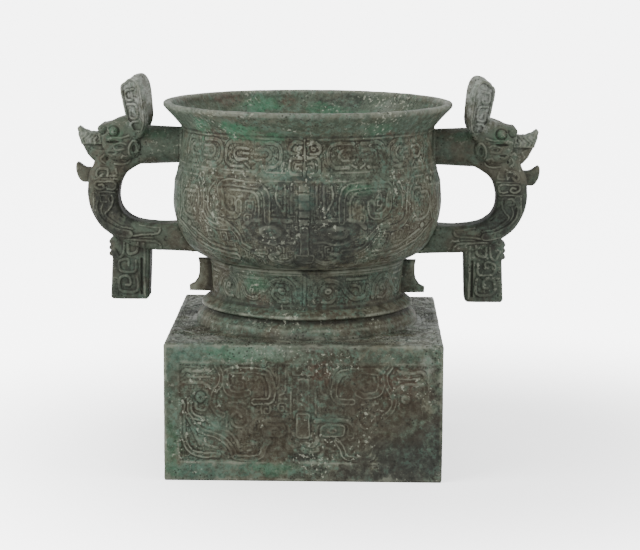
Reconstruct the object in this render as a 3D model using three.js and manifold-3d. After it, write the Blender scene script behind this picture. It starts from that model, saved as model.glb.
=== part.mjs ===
// A bronze gui: a two-handled food bowl on a ring foot and a square plinth, all in millimetres.
// +Z is up, +X runs from handle to handle, and the origin is the centre of the plinth's underside.
// The bowl, its foot and the plinth are one hollow casting. Each handle is a casting of its own,
// an eared beast that swallows a bird, joined to the bowl's wall by an upper and a lower arm.
import * as THREE from 'three';
import { mergeVertices } from 'three/addons/utils/BufferGeometryUtils.js';
import Module from 'manifold-3d';

const wasm = await Module();
wasm.setup();

// Plinth
const PLINTH_WIDTH = 195;
const PLINTH_HEIGHT = 98;
const PLINTH_WALL = 4.5;
const PLINTH_PLATE = 4.5;
const PANEL_MARGIN = 10.5;
const PANEL_BORDER = 14;
const PANEL_RECESS = 1.2;

// Ring foot, from the plinth up
const FOOT_HEIGHT = 46.5;
const FOOT_WALL = 4.5;
const FOOT_SPREAD_RADIUS = 81.5;
const FOOT_WAIST_RADIUS = 69;
const FOOT_TOP_RADIUS = 71;
const FLANGE_REACH = 17.2;
const FLANGE_THICKNESS = 7;

// Bowl, from the foot up
const BOWL_HEIGHT = 114.7;
const BOWL_WALL = 4.5;
const BELLY_RADIUS = 98;
const NECK_RADIUS = 91;
const RIM_RADIUS = 105;
const RIM_LIP = 5;

// Handles
const HANDLE_HEIGHT = 164.5;
const HANDLE_THICKNESS = 27;
const HEAD_THICKNESS = 32;
const PENDANT_THICKNESS = 21;
const HOOK_THICKNESS = 9;
const EAR_THICKNESS = 5;
const EAR_SPLAY_DEGREES = 12;
const EAR_TURN_DEGREES = 35;
const EAR_DISTANCE = 122;
const HANDLE_CLEARANCE = 0.3;

// Relief
const RELIEF_HEIGHT = 1.3;
const RELIEF_ROOT = 0.8;
const BAND_WIDTH = 3.4;

// Sides of the turned surfaces, and the longest step of a band that follows them
const TURN_SEGMENTS = 36;
const BAND_STEP = 14;

const footBase = PLINTH_HEIGHT;
const bowlBase = footBase + FOOT_HEIGHT;
const rimTop = bowlBase + BOWL_HEIGHT;
const throatRadius = FOOT_SPREAD_RADIUS - FOOT_WALL - 2;

const BRONZE = { color: 0x4b5a4c, roughness: 0.6, metalness: 0.5 };
const { lerp, mapLinear, degToRad } = THREE.MathUtils;

function solidOf(geometry) {
  const bare = geometry.index ? geometry.toNonIndexed() : geometry.clone();
  bare.deleteAttribute('normal');
  bare.deleteAttribute('uv');
  const merged = mergeVertices(bare, 1e-4);
  return new wasm.Manifold(new wasm.Mesh({
    numProp: 3,
    vertProperties: new Float32Array(merged.attributes.position.array),
    triVerts: new Uint32Array(merged.index.array.filter(isOfRealTriangle)),
  }));
}

// Keeps the corners of every triangle whose three corners differ.
function isOfRealTriangle(_, i, index) {
  const start = i - (i % 3);
  const [a, b, c] = [index[start], index[start + 1], index[start + 2]];
  return a !== b && b !== c && c !== a;
}

function geometryOf(solid) {
  const mesh = solid.getMesh();
  const geometry = new THREE.BufferGeometry();
  geometry.setAttribute('position', new THREE.BufferAttribute(new Float32Array(mesh.vertProperties), 3));
  geometry.setIndex(new THREE.BufferAttribute(new Uint32Array(mesh.triVerts), 1));
  geometry.computeVertexNormals();
  return geometry;
}

function joinAll(solids) {
  return solids.reduce((whole, next) => whole.add(next));
}

// A turned form, from a profile of points (radius, height) from the axis round to the axis again.
function turned(profile) {
  const lathe = new THREE.LatheGeometry(profile, TURN_SEGMENTS);
  lathe.rotateX(Math.PI / 2);
  return solidOf(lathe);
}

// A closed form through a row of rings that all have the same number of corners.
function lofted(rings) {
  const count = rings[0].length;
  const faces = [];
  for (let i = 0; i + 1 < rings.length; i += 1) {
    for (let j = 0; j < count; j += 1) {
      const a = i * count + j;
      const b = i * count + ((j + 1) % count);
      faces.push([a, b, b + count], [a, b + count, a + count]);
    }
  }
  const last = (rings.length - 1) * count;
  for (let j = 1; j + 1 < count; j += 1) {
    faces.push([0, j + 1, j], [last, last + j, last + j + 1]);
  }
  const geometry = new THREE.BufferGeometry().setFromPoints(rings.flat());
  geometry.setIndex(faces.flat());
  const solid = solidOf(geometry);
  if (solid.volume() > 0) return solid;
  geometry.setIndex(faces.flatMap(([a, b, c]) => [a, c, b]));
  return solidOf(geometry);
}

// A side-on outline in x and z, given its thickness along y and a worn edge.
function extruded(shape, thickness, edge) {
  const geometry = new THREE.ExtrudeGeometry(shape, {
    depth: thickness - 2 * edge,
    bevelThickness: edge,
    bevelSize: edge,
    bevelOffset: -edge,
    bevelSegments: 1,
    bevelEnabled: edge > 0,
  });
  geometry.translate(0, 0, edge - thickness / 2);
  geometry.rotateX(Math.PI / 2);
  return solidOf(geometry);
}

function box(width, depth, low, high) {
  const geometry = new THREE.BoxGeometry(width, depth, high - low);
  geometry.translate(0, 0, (low + high) / 2);
  return solidOf(geometry);
}

// Outline of the bowl from the rim down to the foot, at shares of its height.
function bowlOutside() {
  return [
    [RIM_RADIUS - 1, 1],
    [RIM_RADIUS, 0.975],
    [RIM_RADIUS - 1, 0.942],
    [lerp(NECK_RADIUS, RIM_RADIUS, 0.43), 0.894],
    [NECK_RADIUS + 1.2, 0.852],
    [NECK_RADIUS, 0.815],
    [lerp(NECK_RADIUS, BELLY_RADIUS, 0.43), 0.6],
    [BELLY_RADIUS - 0.8, 0.493],
    [BELLY_RADIUS, 0.37],
    [BELLY_RADIUS - 1.4, 0.275],
    [BELLY_RADIUS - 3.6, 0.2],
    [lerp(FOOT_TOP_RADIUS, BELLY_RADIUS, 0.73), 0.13],
    [lerp(FOOT_TOP_RADIUS, BELLY_RADIUS, 0.45), 0.062],
    [FOOT_TOP_RADIUS, 0],
  ].map(([radius, share]) => new THREE.Vector2(radius, bowlBase + share * BOWL_HEIGHT));
}

// Outline of the ring foot: an upright band, a small ledge under it, then a flare to the plinth.
function footOutside() {
  const spread = (share) => lerp(FOOT_WAIST_RADIUS, FOOT_SPREAD_RADIUS, share);
  return [
    [FOOT_WAIST_RADIUS + 1, 0.76],
    [FOOT_WAIST_RADIUS + 0.4, 0.46],
    [spread(0.28), 0.4],
    [spread(0.66), 0.31],
    [spread(0.5), 0.265],
    [spread(0.88), 0.13],
    [FOOT_SPREAD_RADIUS, 0],
  ].map(([radius, share]) => new THREE.Vector2(radius, footBase + share * FOOT_HEIGHT));
}

// An outline that runs downwards, moved square to itself towards the axis.
function inset(outline, distance) {
  return outline.map((point, i) => {
    const before = outline[Math.max(i - 1, 0)];
    const after = outline[Math.min(i + 1, outline.length - 1)];
    const along = after.clone().sub(before).normalize();
    return new THREE.Vector2(point.x + along.y * distance, point.y - along.x * distance);
  });
}

function radiusAt(height) {
  const outline = [...bowlOutside(), ...footOutside()];
  const next = outline.findIndex((point) => point.y < height);
  const [upper, lower] = [outline[next - 1], outline[next]];
  return mapLinear(height, lower.y, upper.y, lower.x, upper.x);
}

// Bowl and foot as one shell, open above, and open below inside the foot.
function bowlAndFoot() {
  const floorTop = bowlBase + BOWL_WALL;
  const inside = inset(bowlOutside().slice(2), BOWL_WALL).filter((point) => point.y > floorTop + 1);
  return turned([
    new THREE.Vector2(0, bowlBase),
    new THREE.Vector2(FOOT_TOP_RADIUS - FOOT_WALL * 2.5, bowlBase),
    new THREE.Vector2(FOOT_TOP_RADIUS - FOOT_WALL, bowlBase - FOOT_WALL),
    new THREE.Vector2(FOOT_WAIST_RADIUS - FOOT_WALL, footBase + FOOT_HEIGHT * 0.36),
    new THREE.Vector2(throatRadius, footBase - PLINTH_PLATE * 0.5),
    new THREE.Vector2(FOOT_SPREAD_RADIUS, footBase - PLINTH_PLATE * 0.5),
    ...footOutside().reverse(),
    ...bowlOutside().reverse(),
    new THREE.Vector2(RIM_RADIUS - RIM_LIP, rimTop),
    ...inside,
    new THREE.Vector2(FOOT_TOP_RADIUS - BOWL_WALL * 1.6, floorTop),
    new THREE.Vector2(0, floorTop),
  ]);
}

// What lies within the bowl's and the foot's outside, and a clearance round it.
function keptFromHandles() {
  const outline = inset([...bowlOutside(), ...footOutside()], -HANDLE_CLEARANCE);
  return turned([
    new THREE.Vector2(0, outline.at(-1).y),
    ...outline.reverse(),
    new THREE.Vector2(0, outline.at(-1).y),
  ]);
}

// A box with no underside, and a round hole in its top within the foot.
function plinth() {
  const room = PLINTH_WIDTH - 2 * PLINTH_WALL;
  const ceiling = PLINTH_HEIGHT - PLINTH_PLATE;
  const throat = turned([
    new THREE.Vector2(0, ceiling - 1),
    new THREE.Vector2(throatRadius, ceiling - 1),
    new THREE.Vector2(throatRadius, PLINTH_HEIGHT + 1),
    new THREE.Vector2(0, PLINTH_HEIGHT + 1),
  ]);
  return box(PLINTH_WIDTH, PLINTH_WIDTH, 0, PLINTH_HEIGHT)
    .subtract(box(room, room, -1, ceiling))
    .subtract(throat);
}

// Relief. A motif is drawn as points (across, up), and a place function sets it on a surface:
// place(across, up, lift) is the point that stands lift above that surface. A band is a low ridge.
function raisedBand(points, width, lift, place) {
  return lofted(points.map(([across, up], i) => {
    const before = new THREE.Vector2(...points[Math.max(i - 1, 0)]);
    const after = new THREE.Vector2(...points[Math.min(i + 1, points.length - 1)]);
    const side = after.sub(before).normalize().multiplyScalar(width / 2);
    return [
      place(across - side.y, up + side.x, -RELIEF_ROOT),
      place(across + side.y, up - side.x, -RELIEF_ROOT),
      place(across, up, lift),
    ];
  }));
}

// A low dome, round or oval.
function raisedBoss([across, up, halfWidth, halfHeight], lift, place) {
  const turns = Array.from({ length: 8 }, (_, i) => (i * Math.PI) / 4);
  const ring = (share, height) => turns.map((turn) => (
    place(across + Math.cos(turn) * halfWidth * share, up + Math.sin(turn) * halfHeight * share, height)
  ));
  return lofted([ring(1, -RELIEF_ROOT), ring(0.6, lift)]);
}

function mirrored(points) {
  return points.map(([across, ...rest]) => [-across, ...rest]);
}

// A motif made twice, as drawn and mirrored across its middle.
function raisedPair({ bands, bosses }, lift, place) {
  return [bands, bands.map(mirrored)].flat().map((points) => raisedBand(points, BAND_WIDTH, lift, place))
    .concat([bosses, mirrored(bosses)].flat().map((one) => raisedBoss(one, lift * 1.4, place)));
}

// The beast's mask on a face of the plinth, as shares of half the width and of the height:
// horn, brow, jaw and cheek, then the beak and back of the small dragon at the panel's end.
const PLINTH_MASK = {
  bands: [
    [[0.35, 0.59], [0.25, 0.6], [0.25, 0.75], [0.3, 0.8], [0.5, 0.8], [0.54, 0.7], [0.42, 0.64]],
    [[0.09, 0.465], [0.31, 0.46], [0.36, 0.4]],
    [[0.22, 0.3], [0.3, 0.19], [0.46, 0.18], [0.55, 0.3], [0.75, 0.42]],
    [[0.64, 0.66], [0.71, 0.715], [0.86, 0.715]],
    [[0.83, 0.55], [0.79, 0.4], [0.68, 0.29]],
  ],
  bosses: [[0.205, 0.373, 0.1, 0.056], [0.74, 0.62, 0.042, 0.042]],
};
const PLINTH_NOSE = [[0, 0.84], [0, 0.3], [0, 0.26]];

// The beast's mask on the bowl, in degrees from the middle and shares of the bowl's height:
// horn, brow, ear and body, and the double sweep that bounds the mask.
const BOWL_MASK = {
  bands: [
    [[15.5, 0.37], [15.5, 0.48], [18, 0.535], [24, 0.56], [33, 0.56], [38, 0.53], [37, 0.43], [30, 0.375]],
    [[6, 0.345], [15, 0.355], [23, 0.345], [27, 0.29]],
    [[55, 0.5], [49, 0.48], [47.5, 0.37], [43, 0.3], [34, 0.285]],
    [[69, 0.53], [66, 0.45], [67, 0.33], [62, 0.23], [48, 0.14], [34, 0.1]],
  ],
  bosses: [[14.5, 0.28, 6.2, 0.045], [57.5, 0.375, 3.5, 0.045]],
};
const BOWL_NOSE = [[0, 0.56], [0, 0.35], [0, 0.14]];

// The neck's dragon, drawn from its head back, and the beast's head in the middle of the neck.
const NECK_DRAGON = [[0, 0.725], [4, 0.795], [11, 0.795], [16, 0.655], [23, 0.655]];
const NECK_HEAD = [[0, 0.825], [0, 0.72], [0, 0.62]];

function facePlace(quarter) {
  const axis = new THREE.Vector3(0, 0, 1);
  return (across, up, lift) => {
    const out = PLINTH_WIDTH / 2 - PANEL_RECESS + lift;
    return new THREE.Vector3(across, -out, up).applyAxisAngle(axis, (quarter * Math.PI) / 2);
  };
}

function sunkPanel(quarter) {
  const half = PLINTH_WIDTH / 2 - PANEL_MARGIN;
  const [low, high] = [PANEL_BORDER, PLINTH_HEIGHT - PANEL_BORDER];
  const corners = [[-half, low], [half, low], [half, high], [-half, high]];
  const ring = (lift) => corners.map(([across, up]) => facePlace(quarter)(across, up, lift));
  return lofted([ring(0), ring(PANEL_RECESS + 1)]);
}

function plinthMask(quarter) {
  const place = facePlace(quarter);
  const [wide, high] = [PLINTH_WIDTH / 2, PLINTH_HEIGHT];
  const drawn = (points) => points.map(([across, up]) => [across * wide, up * high]);
  const bosses = PLINTH_MASK.bosses.map(([across, up, halfWidth, halfHeight]) => (
    [across * wide, up * high, halfWidth * wide, halfHeight * high]
  ));
  const lift = PANEL_RECESS + RELIEF_HEIGHT * 0.7;
  return [
    ...raisedPair({ bands: PLINTH_MASK.bands.map(drawn), bosses }, lift, place),
    raisedBand(drawn(PLINTH_NOSE), BAND_WIDTH * 2.6, lift * 1.3, place),
  ];
}

// Across is millimetres round the belly here, and up is the height above the ground.
function roundPlace(front) {
  const side = front ? 1 : -1;
  return (across, up, lift) => {
    const angle = across / BELLY_RADIUS;
    const radius = radiusAt(up) + lift;
    return new THREE.Vector3(side * Math.sin(angle) * radius, -side * Math.cos(angle) * radius, up);
  };
}

function drawnRound(points) {
  return points.map(([degrees, share]) => (
    [degToRad(degrees) * BELLY_RADIUS, bowlBase + share * BOWL_HEIGHT]
  ));
}

// Points put in along a band, so that no step of it is so long that its chord cuts into the wall.
function followed(points) {
  return points.flatMap((point, i) => {
    if (i === 0) return [point];
    const from = new THREE.Vector2(...points[i - 1]);
    const to = new THREE.Vector2(...point);
    const steps = Math.ceil(from.distanceTo(to) / BAND_STEP);
    return Array.from({ length: steps }, (_, k) => from.clone().lerp(to, (k + 1) / steps).toArray());
  });
}

function bowlMask(front) {
  const place = roundPlace(front);
  const bands = BOWL_MASK.bands.map((points) => followed(drawnRound(points)));
  const bosses = BOWL_MASK.bosses.map(([degrees, share, halfDegrees, halfShare]) => (
    [...drawnRound([[degrees, share]])[0], degToRad(halfDegrees) * BELLY_RADIUS, halfShare * BOWL_HEIGHT]
  ));
  return [
    ...raisedPair({ bands, bosses }, RELIEF_HEIGHT, place),
    raisedBand(drawnRound(BOWL_NOSE), BAND_WIDTH * 2, RELIEF_HEIGHT * 1.3, place),
  ];
}

function neckBand(front) {
  const place = roundPlace(front);
  const bands = [12, 41].map((start) => (
    followed(drawnRound(NECK_DRAGON.map(([degrees, share]) => [start + degrees, share])))
  ));
  return [
    ...raisedPair({ bands, bosses: [] }, RELIEF_HEIGHT, place),
    raisedBand(drawnRound(NECK_HEAD), BAND_WIDTH * 4, RELIEF_HEIGHT * 1.6, place),
  ];
}

// A hooked flange stands on the ring foot's band under each handle.
function footFlange() {
  const root = FOOT_WAIST_RADIUS - 1;
  const tip = FOOT_WAIST_RADIUS + FLANGE_REACH;
  const shank = FOOT_WAIST_RADIUS + FLANGE_REACH * 0.53;
  const outline = [
    [root, 0.44], [tip, 0.44], [tip, 0.56], [shank + 1.5, 0.63], [shank, 0.8], [shank, 0.97], [root, 0.97],
  ].map(([x, share]) => new THREE.Vector2(x, footBase + share * FOOT_HEIGHT));
  return extruded(new THREE.Shape(outline), FLANGE_THICKNESS, 0);
}

// The handle is drawn 164.5 tall from its pendant to its ear tips, with x out from the vessel's axis,
// z up from the ground, the belly at 98 and the foot of the bowl at 144.5.
const DRAWN_HANDLE = { height: 164.5, belly: 98, bowlBase: 144.5 };
const handleScale = HANDLE_HEIGHT / DRAWN_HANDLE.height;

function handlePoint([x, z]) {
  return new THREE.Vector2(
    BELLY_RADIUS + (x - DRAWN_HANDLE.belly) * handleScale,
    bowlBase + (z - DRAWN_HANDLE.bowlBase) * handleScale,
  );
}

// The end of an arm, well within the bowl's wall, at a height of the drawn handle.
function armRoot(z) {
  return new THREE.Vector2(FOOT_TOP_RADIUS, handlePoint([0, z]).y);
}

function handleBody() {
  const outer = [
    [91, 238.2], [119, 242], [134, 244.5], [147, 240.5], [152, 230], [156.5, 214], [160, 200],
    [160, 188], [157, 175], [149, 164], [137, 156.5], [114, 150], [98, 149.5],
  ];
  const inner = [
    [104, 169.5], [119, 171], [128, 173.7], [135, 179], [138, 188], [137, 198],
    [131.5, 207], [123, 212.2], [113, 212.6],
  ];
  return extruded(new THREE.Shape([
    armRoot(238.2), ...outer.map(handlePoint), armRoot(148),
    armRoot(169.5), ...inner.map(handlePoint), armRoot(212.2),
  ]), HANDLE_THICKNESS, 6);
}

function handleHead() {
  const skull = [
    [118, 222], [118, 239], [123, 246], [132, 247.6], [144, 243.2], [151.6, 241],
    [152, 233], [150, 225], [144, 217], [128, 216],
  ];
  return extruded(new THREE.Shape(skull.map(handlePoint)), HEAD_THICKNESS, 5);
}

// The upturned lower beak, as diamond-shaped sections with a ridge above and a keel below.
function handleBeak() {
  const sections = [
    { keel: [146, 214], ridge: [146, 238], half: 14 },
    { keel: [156, 213.5], ridge: [154, 236], half: 13 },
    { keel: [162, 222], ridge: [158.5, 236.3], half: 11 },
    { keel: [166, 232.5], ridge: [163, 237.2], half: 7 },
    { keel: [167.5, 237.2], ridge: [166.2, 239.2], half: 2.5 },
  ];
  return lofted(sections.map(({ keel, ridge, half }) => {
    const [bottom, top] = [handlePoint(keel), handlePoint(ridge)];
    const edge = bottom.clone().lerp(top, 0.62);
    const at = ({ x, y }, out) => new THREE.Vector3(x, out * handleScale, y);
    return [at(bottom, 0), at(edge, -half), at(top, 0), at(edge, half)];
  }));
}

// An ear is a tall slab that widens upwards. The two stand as a V that opens towards the bowl.
function handleEar(side) {
  const slab = [
    [-2.5, 236], [-8.5, 243], [-10.2, 256], [-10, 269.5], [-6.5, 276.6], [-1, 277.5],
    [4.5, 274.6], [9.6, 270.2], [9.2, 256], [7.4, 245], [2.5, 236],
  ];
  const foot = new THREE.Vector2(EAR_DISTANCE, handlePoint([0, 236]).y);
  const outline = slab.map(([across, z]) => (
    new THREE.Vector2(across * handleScale, handlePoint([0, z]).y - foot.y)
  ));
  return extruded(new THREE.Shape(outline), EAR_THICKNESS, 1)
    .rotate([-side * EAR_SPLAY_DEGREES, 0, 0])
    .rotate([0, 0, -side * EAR_TURN_DEGREES])
    .translate([foot.x, side * HEAD_THICKNESS * 0.42, foot.y]);
}

// A round boss that stands out of both sides of the head: the eyes, and the nostrils.
function headBoss(centre, radius, reach) {
  const { x, y } = handlePoint(centre);
  const boss = new THREE.CylinderGeometry(radius, radius, reach * 2, 8);
  boss.translate(x, 0, y);
  return solidOf(boss);
}

function handleHook() {
  const hook = [
    [156, 209.5], [163, 210], [168, 213.2], [169.2, 210],
    [168.4, 204.5], [165.5, 200], [161.5, 199], [156, 202],
  ];
  return extruded(new THREE.Shape(hook.map(handlePoint)), HOOK_THICKNESS, 0);
}

function handlePendant() {
  const pendant = [
    [114, 156], [115, 148], [116, 115], [118, 113], [142.5, 113], [144.2, 115], [142.5, 143],
    [144.6, 147], [144.6, 154], [142, 161], [128, 162],
  ];
  return extruded(new THREE.Shape(pendant.map(handlePoint)), PENDANT_THICKNESS, 1.5);
}

// The beast's collar, the bird's wing and tail on the handle, and its leg and claw on the pendant.
const HANDLE_RELIEF = [
  { on: HANDLE_THICKNESS, points: [[141, 196], [158, 195]] },
  { on: HANDLE_THICKNESS, points: [[144, 194], [154, 188], [151, 176], [141, 167], [124, 162]] },
  { on: HANDLE_THICKNESS, points: [[118, 157], [100, 156.5]] },
  { on: PENDANT_THICKNESS, points: [[137, 156], [139, 147], [132, 141]] },
  { on: PENDANT_THICKNESS, points: [[123, 140], [123, 119], [138, 119], [139, 130], [130, 130]] },
];

function handleRelief(side) {
  return HANDLE_RELIEF.map(({ on, points }) => {
    const place = (x, z, lift) => new THREE.Vector3(x, side * (on / 2 + lift), z);
    const drawn = points.map((point) => handlePoint(point).toArray());
    return raisedBand(drawn, BAND_WIDTH, RELIEF_HEIGHT * 0.8, place);
  });
}

// A handle on the +X side, cut to the bowl's wall. The other is the same, turned half round.
function handle() {
  const pieces = [
    handleBody(),
    handleHead(),
    handleBeak(),
    handleHook(),
    handlePendant(),
    headBoss([140, 238], HEAD_THICKNESS * 0.11, HEAD_THICKNESS * 0.55),
    headBoss([149, 239.8], HEAD_THICKNESS * 0.1, HEAD_THICKNESS * 0.45),
  ];
  for (const side of [1, -1]) {
    pieces.push(handleEar(side), ...handleRelief(side));
  }
  return joinAll(pieces).subtract(keptFromHandles());
}

function vessel() {
  const relief = [footFlange(), footFlange().rotate([0, 0, 180])];
  let whole = bowlAndFoot().add(plinth());
  for (let quarter = 0; quarter < 4; quarter += 1) {
    whole = whole.subtract(sunkPanel(quarter));
    relief.push(...plinthMask(quarter));
  }
  for (const front of [true, false]) {
    relief.push(...bowlMask(front), ...neckBand(front));
  }
  return whole.add(joinAll(relief));
}

function namedMesh(name, solid) {
  const mesh = new THREE.Mesh(geometryOf(solid), new THREE.MeshStandardMaterial(BRONZE));
  mesh.name = name;
  return mesh;
}

const gui = new THREE.Group();
gui.add(namedMesh('vessel_with_plinth', vessel()));
gui.add(namedMesh('handle_right', handle()));
gui.add(namedMesh('handle_left', handle().rotate([0, 0, 180])));

export default gui;
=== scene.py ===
"""A bronze gui: a bowl on a ring foot, a square plinth under it, and two beast-headed handles.

Lengths in the making are millimetres, in the frame of the solids: +Z up, the front towards -Y,
and the origin under the middle of the plinth. Each finished mesh is scaled to metres.
"""
import math

import bmesh
import bpy
import numpy as np
from mathutils import Matrix, Vector


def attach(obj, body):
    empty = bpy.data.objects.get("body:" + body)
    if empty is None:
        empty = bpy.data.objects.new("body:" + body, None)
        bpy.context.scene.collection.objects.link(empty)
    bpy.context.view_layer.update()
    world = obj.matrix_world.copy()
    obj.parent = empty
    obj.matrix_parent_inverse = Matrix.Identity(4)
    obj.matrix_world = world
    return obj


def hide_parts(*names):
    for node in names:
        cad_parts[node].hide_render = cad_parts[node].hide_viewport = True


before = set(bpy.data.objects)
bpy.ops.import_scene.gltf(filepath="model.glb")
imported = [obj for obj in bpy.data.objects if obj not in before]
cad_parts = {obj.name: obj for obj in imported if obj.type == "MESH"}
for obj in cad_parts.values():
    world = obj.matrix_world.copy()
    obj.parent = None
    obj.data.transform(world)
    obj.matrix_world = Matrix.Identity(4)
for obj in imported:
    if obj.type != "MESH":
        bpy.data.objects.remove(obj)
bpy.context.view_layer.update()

MM = 0.001

# Plinth
PLINTH_WIDTH = 195.0
PLINTH_HEIGHT = 98.0
PLINTH_WALL = 4.5
PLINTH_STEP = 0.75
EDGE_ROUND = 1.8
PANEL_LOW = 14.0
PANEL_HIGH = 84.0
PANEL_HALF = 87.0
PANEL_RECESS = 0.9

# Ring foot and bowl, from the solids' own sizes
BELLY_RADIUS = 98.0
THROAT_RADIUS = 75.0
FOOT_CARVED = (118.0, 144.4)
BELLY_CARVED = (145.0, 213.3)
NECK_CARVED = (213.3, 241.5)
LIP_START = 243.0
BOWL_STEPS = 1060
FOOT_STEPS = 900
ROW_STEP = 0.55
LIP_ROW_STEP = 0.8
MM_PER_DEGREE = BELLY_RADIUS * math.pi / 180

# Relief
BAND_LIFT = 0.9
GROUND_DEPTH = 0.45
SPIRAL_CELL = 5.4

# Where a crust has filled the carving, in the lower right corner of the plinth's front
CRUST_PLACE = (84, -97.5, 22)
CRUST_REACH = (30, 24, 32)

PIECE_TRIANGLES = 190_000
HANDLE_TRIANGLES = 150_000
VOXEL = 0.52


# Drawing

def smooth_line(points, steps=5):
    """A curve through the points, as short straight steps."""
    p = np.array(points, float)
    if len(p) < 3:
        return p
    before = np.vstack([2 * p[:1] - p[1:2], p[:-1]])[: len(p) - 1]
    after = np.vstack([p[2:], 2 * p[-1:] - p[-2:-1]])
    start, end = p[:-1], p[1:]
    made = [p[:1]]
    for t in np.linspace(0, 1, steps + 1)[1:]:
        made.append(0.5 * (
            2 * start + (end - before) * t
            + (2 * before - 5 * start + 4 * end - after) * t**2
            + (3 * start - before - 3 * end + after) * t**3
        ))
    body = np.stack(made[1:], 1).reshape(-1, 2)
    return np.vstack([made[0], body])


def line_distance(u, v, line, reach):
    """Distance from each point to a line, where that is under reach."""
    found = np.full(u.shape, float(reach))
    low, high = line.min(0) - reach, line.max(0) + reach
    near = np.flatnonzero((u > low[0]) & (u < high[0]) & (v > low[1]) & (v < high[1]))
    if not near.size:
        return found
    p = np.stack([u[near], v[near]], 1)
    best = np.full(len(near), float(reach) ** 2)
    for start, end in zip(line[:-1], line[1:]):
        along = end - start
        share = np.clip((p - start) @ along / max(along @ along, 1e-9), 0, 1)
        gap = p - start - share[:, None] * along
        best = np.minimum(best, (gap * gap).sum(1))
    found[near] = np.sqrt(best)
    return found


def step_up(value, low, high):
    """0 below the low value, 1 above the high one, and a soft rise between them."""
    t = np.clip((value - low) / (high - low), 0, 1)
    return t * t * (3 - 2 * t)


def value_noise(points, size, seed):
    """Smooth noise from -1 to 1 on a lattice of the given size."""
    q = points / size + 1000.0
    cell = np.floor(q).astype(np.int64)
    t = q - cell
    t = t * t * (3 - 2 * t)
    total = np.zeros(len(points))
    for corner in range(8):
        offset = np.array([corner & 1, corner >> 1 & 1, corner >> 2 & 1])
        at = cell + offset
        mixed = at[:, 0] * 73856093 ^ at[:, 1] * 19349663 ^ at[:, 2] * 83492791 ^ seed * 2654435761
        mixed = (mixed ^ (mixed >> 13)) * 1274126177 & 0x7FFFFFFF
        value = mixed / 0x3FFFFFFF - 1
        weight = np.where(offset, t, 1 - t).prod(1)
        total += value * weight
    return total


def rail(value, middle, half):
    """A soft line where the value is near the middle one: 1 in it, and 0 a little way off."""
    return np.exp(-(((value - middle) / half) ** 2))


def hand_wobble(place, seed):
    """How far a line cut by hand strays from the drawing, in long and short waves."""
    return 0.42 * value_noise(place, 7.0, seed) + 0.2 * value_noise(place, 2.4, seed + 2)


def between(value, rise, fall):
    """1 from the rise to the fall, each given as its start and end, and 0 outside them."""
    return step_up(value, *rise) * (1 - step_up(value, *fall))


def spiral_ground(u, v, cell=SPIRAL_CELL, turns=2.0):
    """Rows of small square spirals, from 0 in the lines between them to 1 on them."""
    row = np.floor(v / cell)
    shifted = u / cell + 0.5 * (row % 2)
    column = np.floor(shifted)
    x = shifted - column - 0.5
    y = v / cell - row - 0.5
    x = np.where((column + row) % 2 > 0, -x, x)
    square = np.maximum(np.abs(x), np.abs(y)) * 2
    turn = np.arctan2(y, x) / (2 * math.pi)
    wave = np.cos((square * turns - turn) * 2 * math.pi)
    border = step_up(square, 0.8, 0.95)
    return np.maximum(step_up(wave, -0.35, 0.45) * (1 - border), border)


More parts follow.
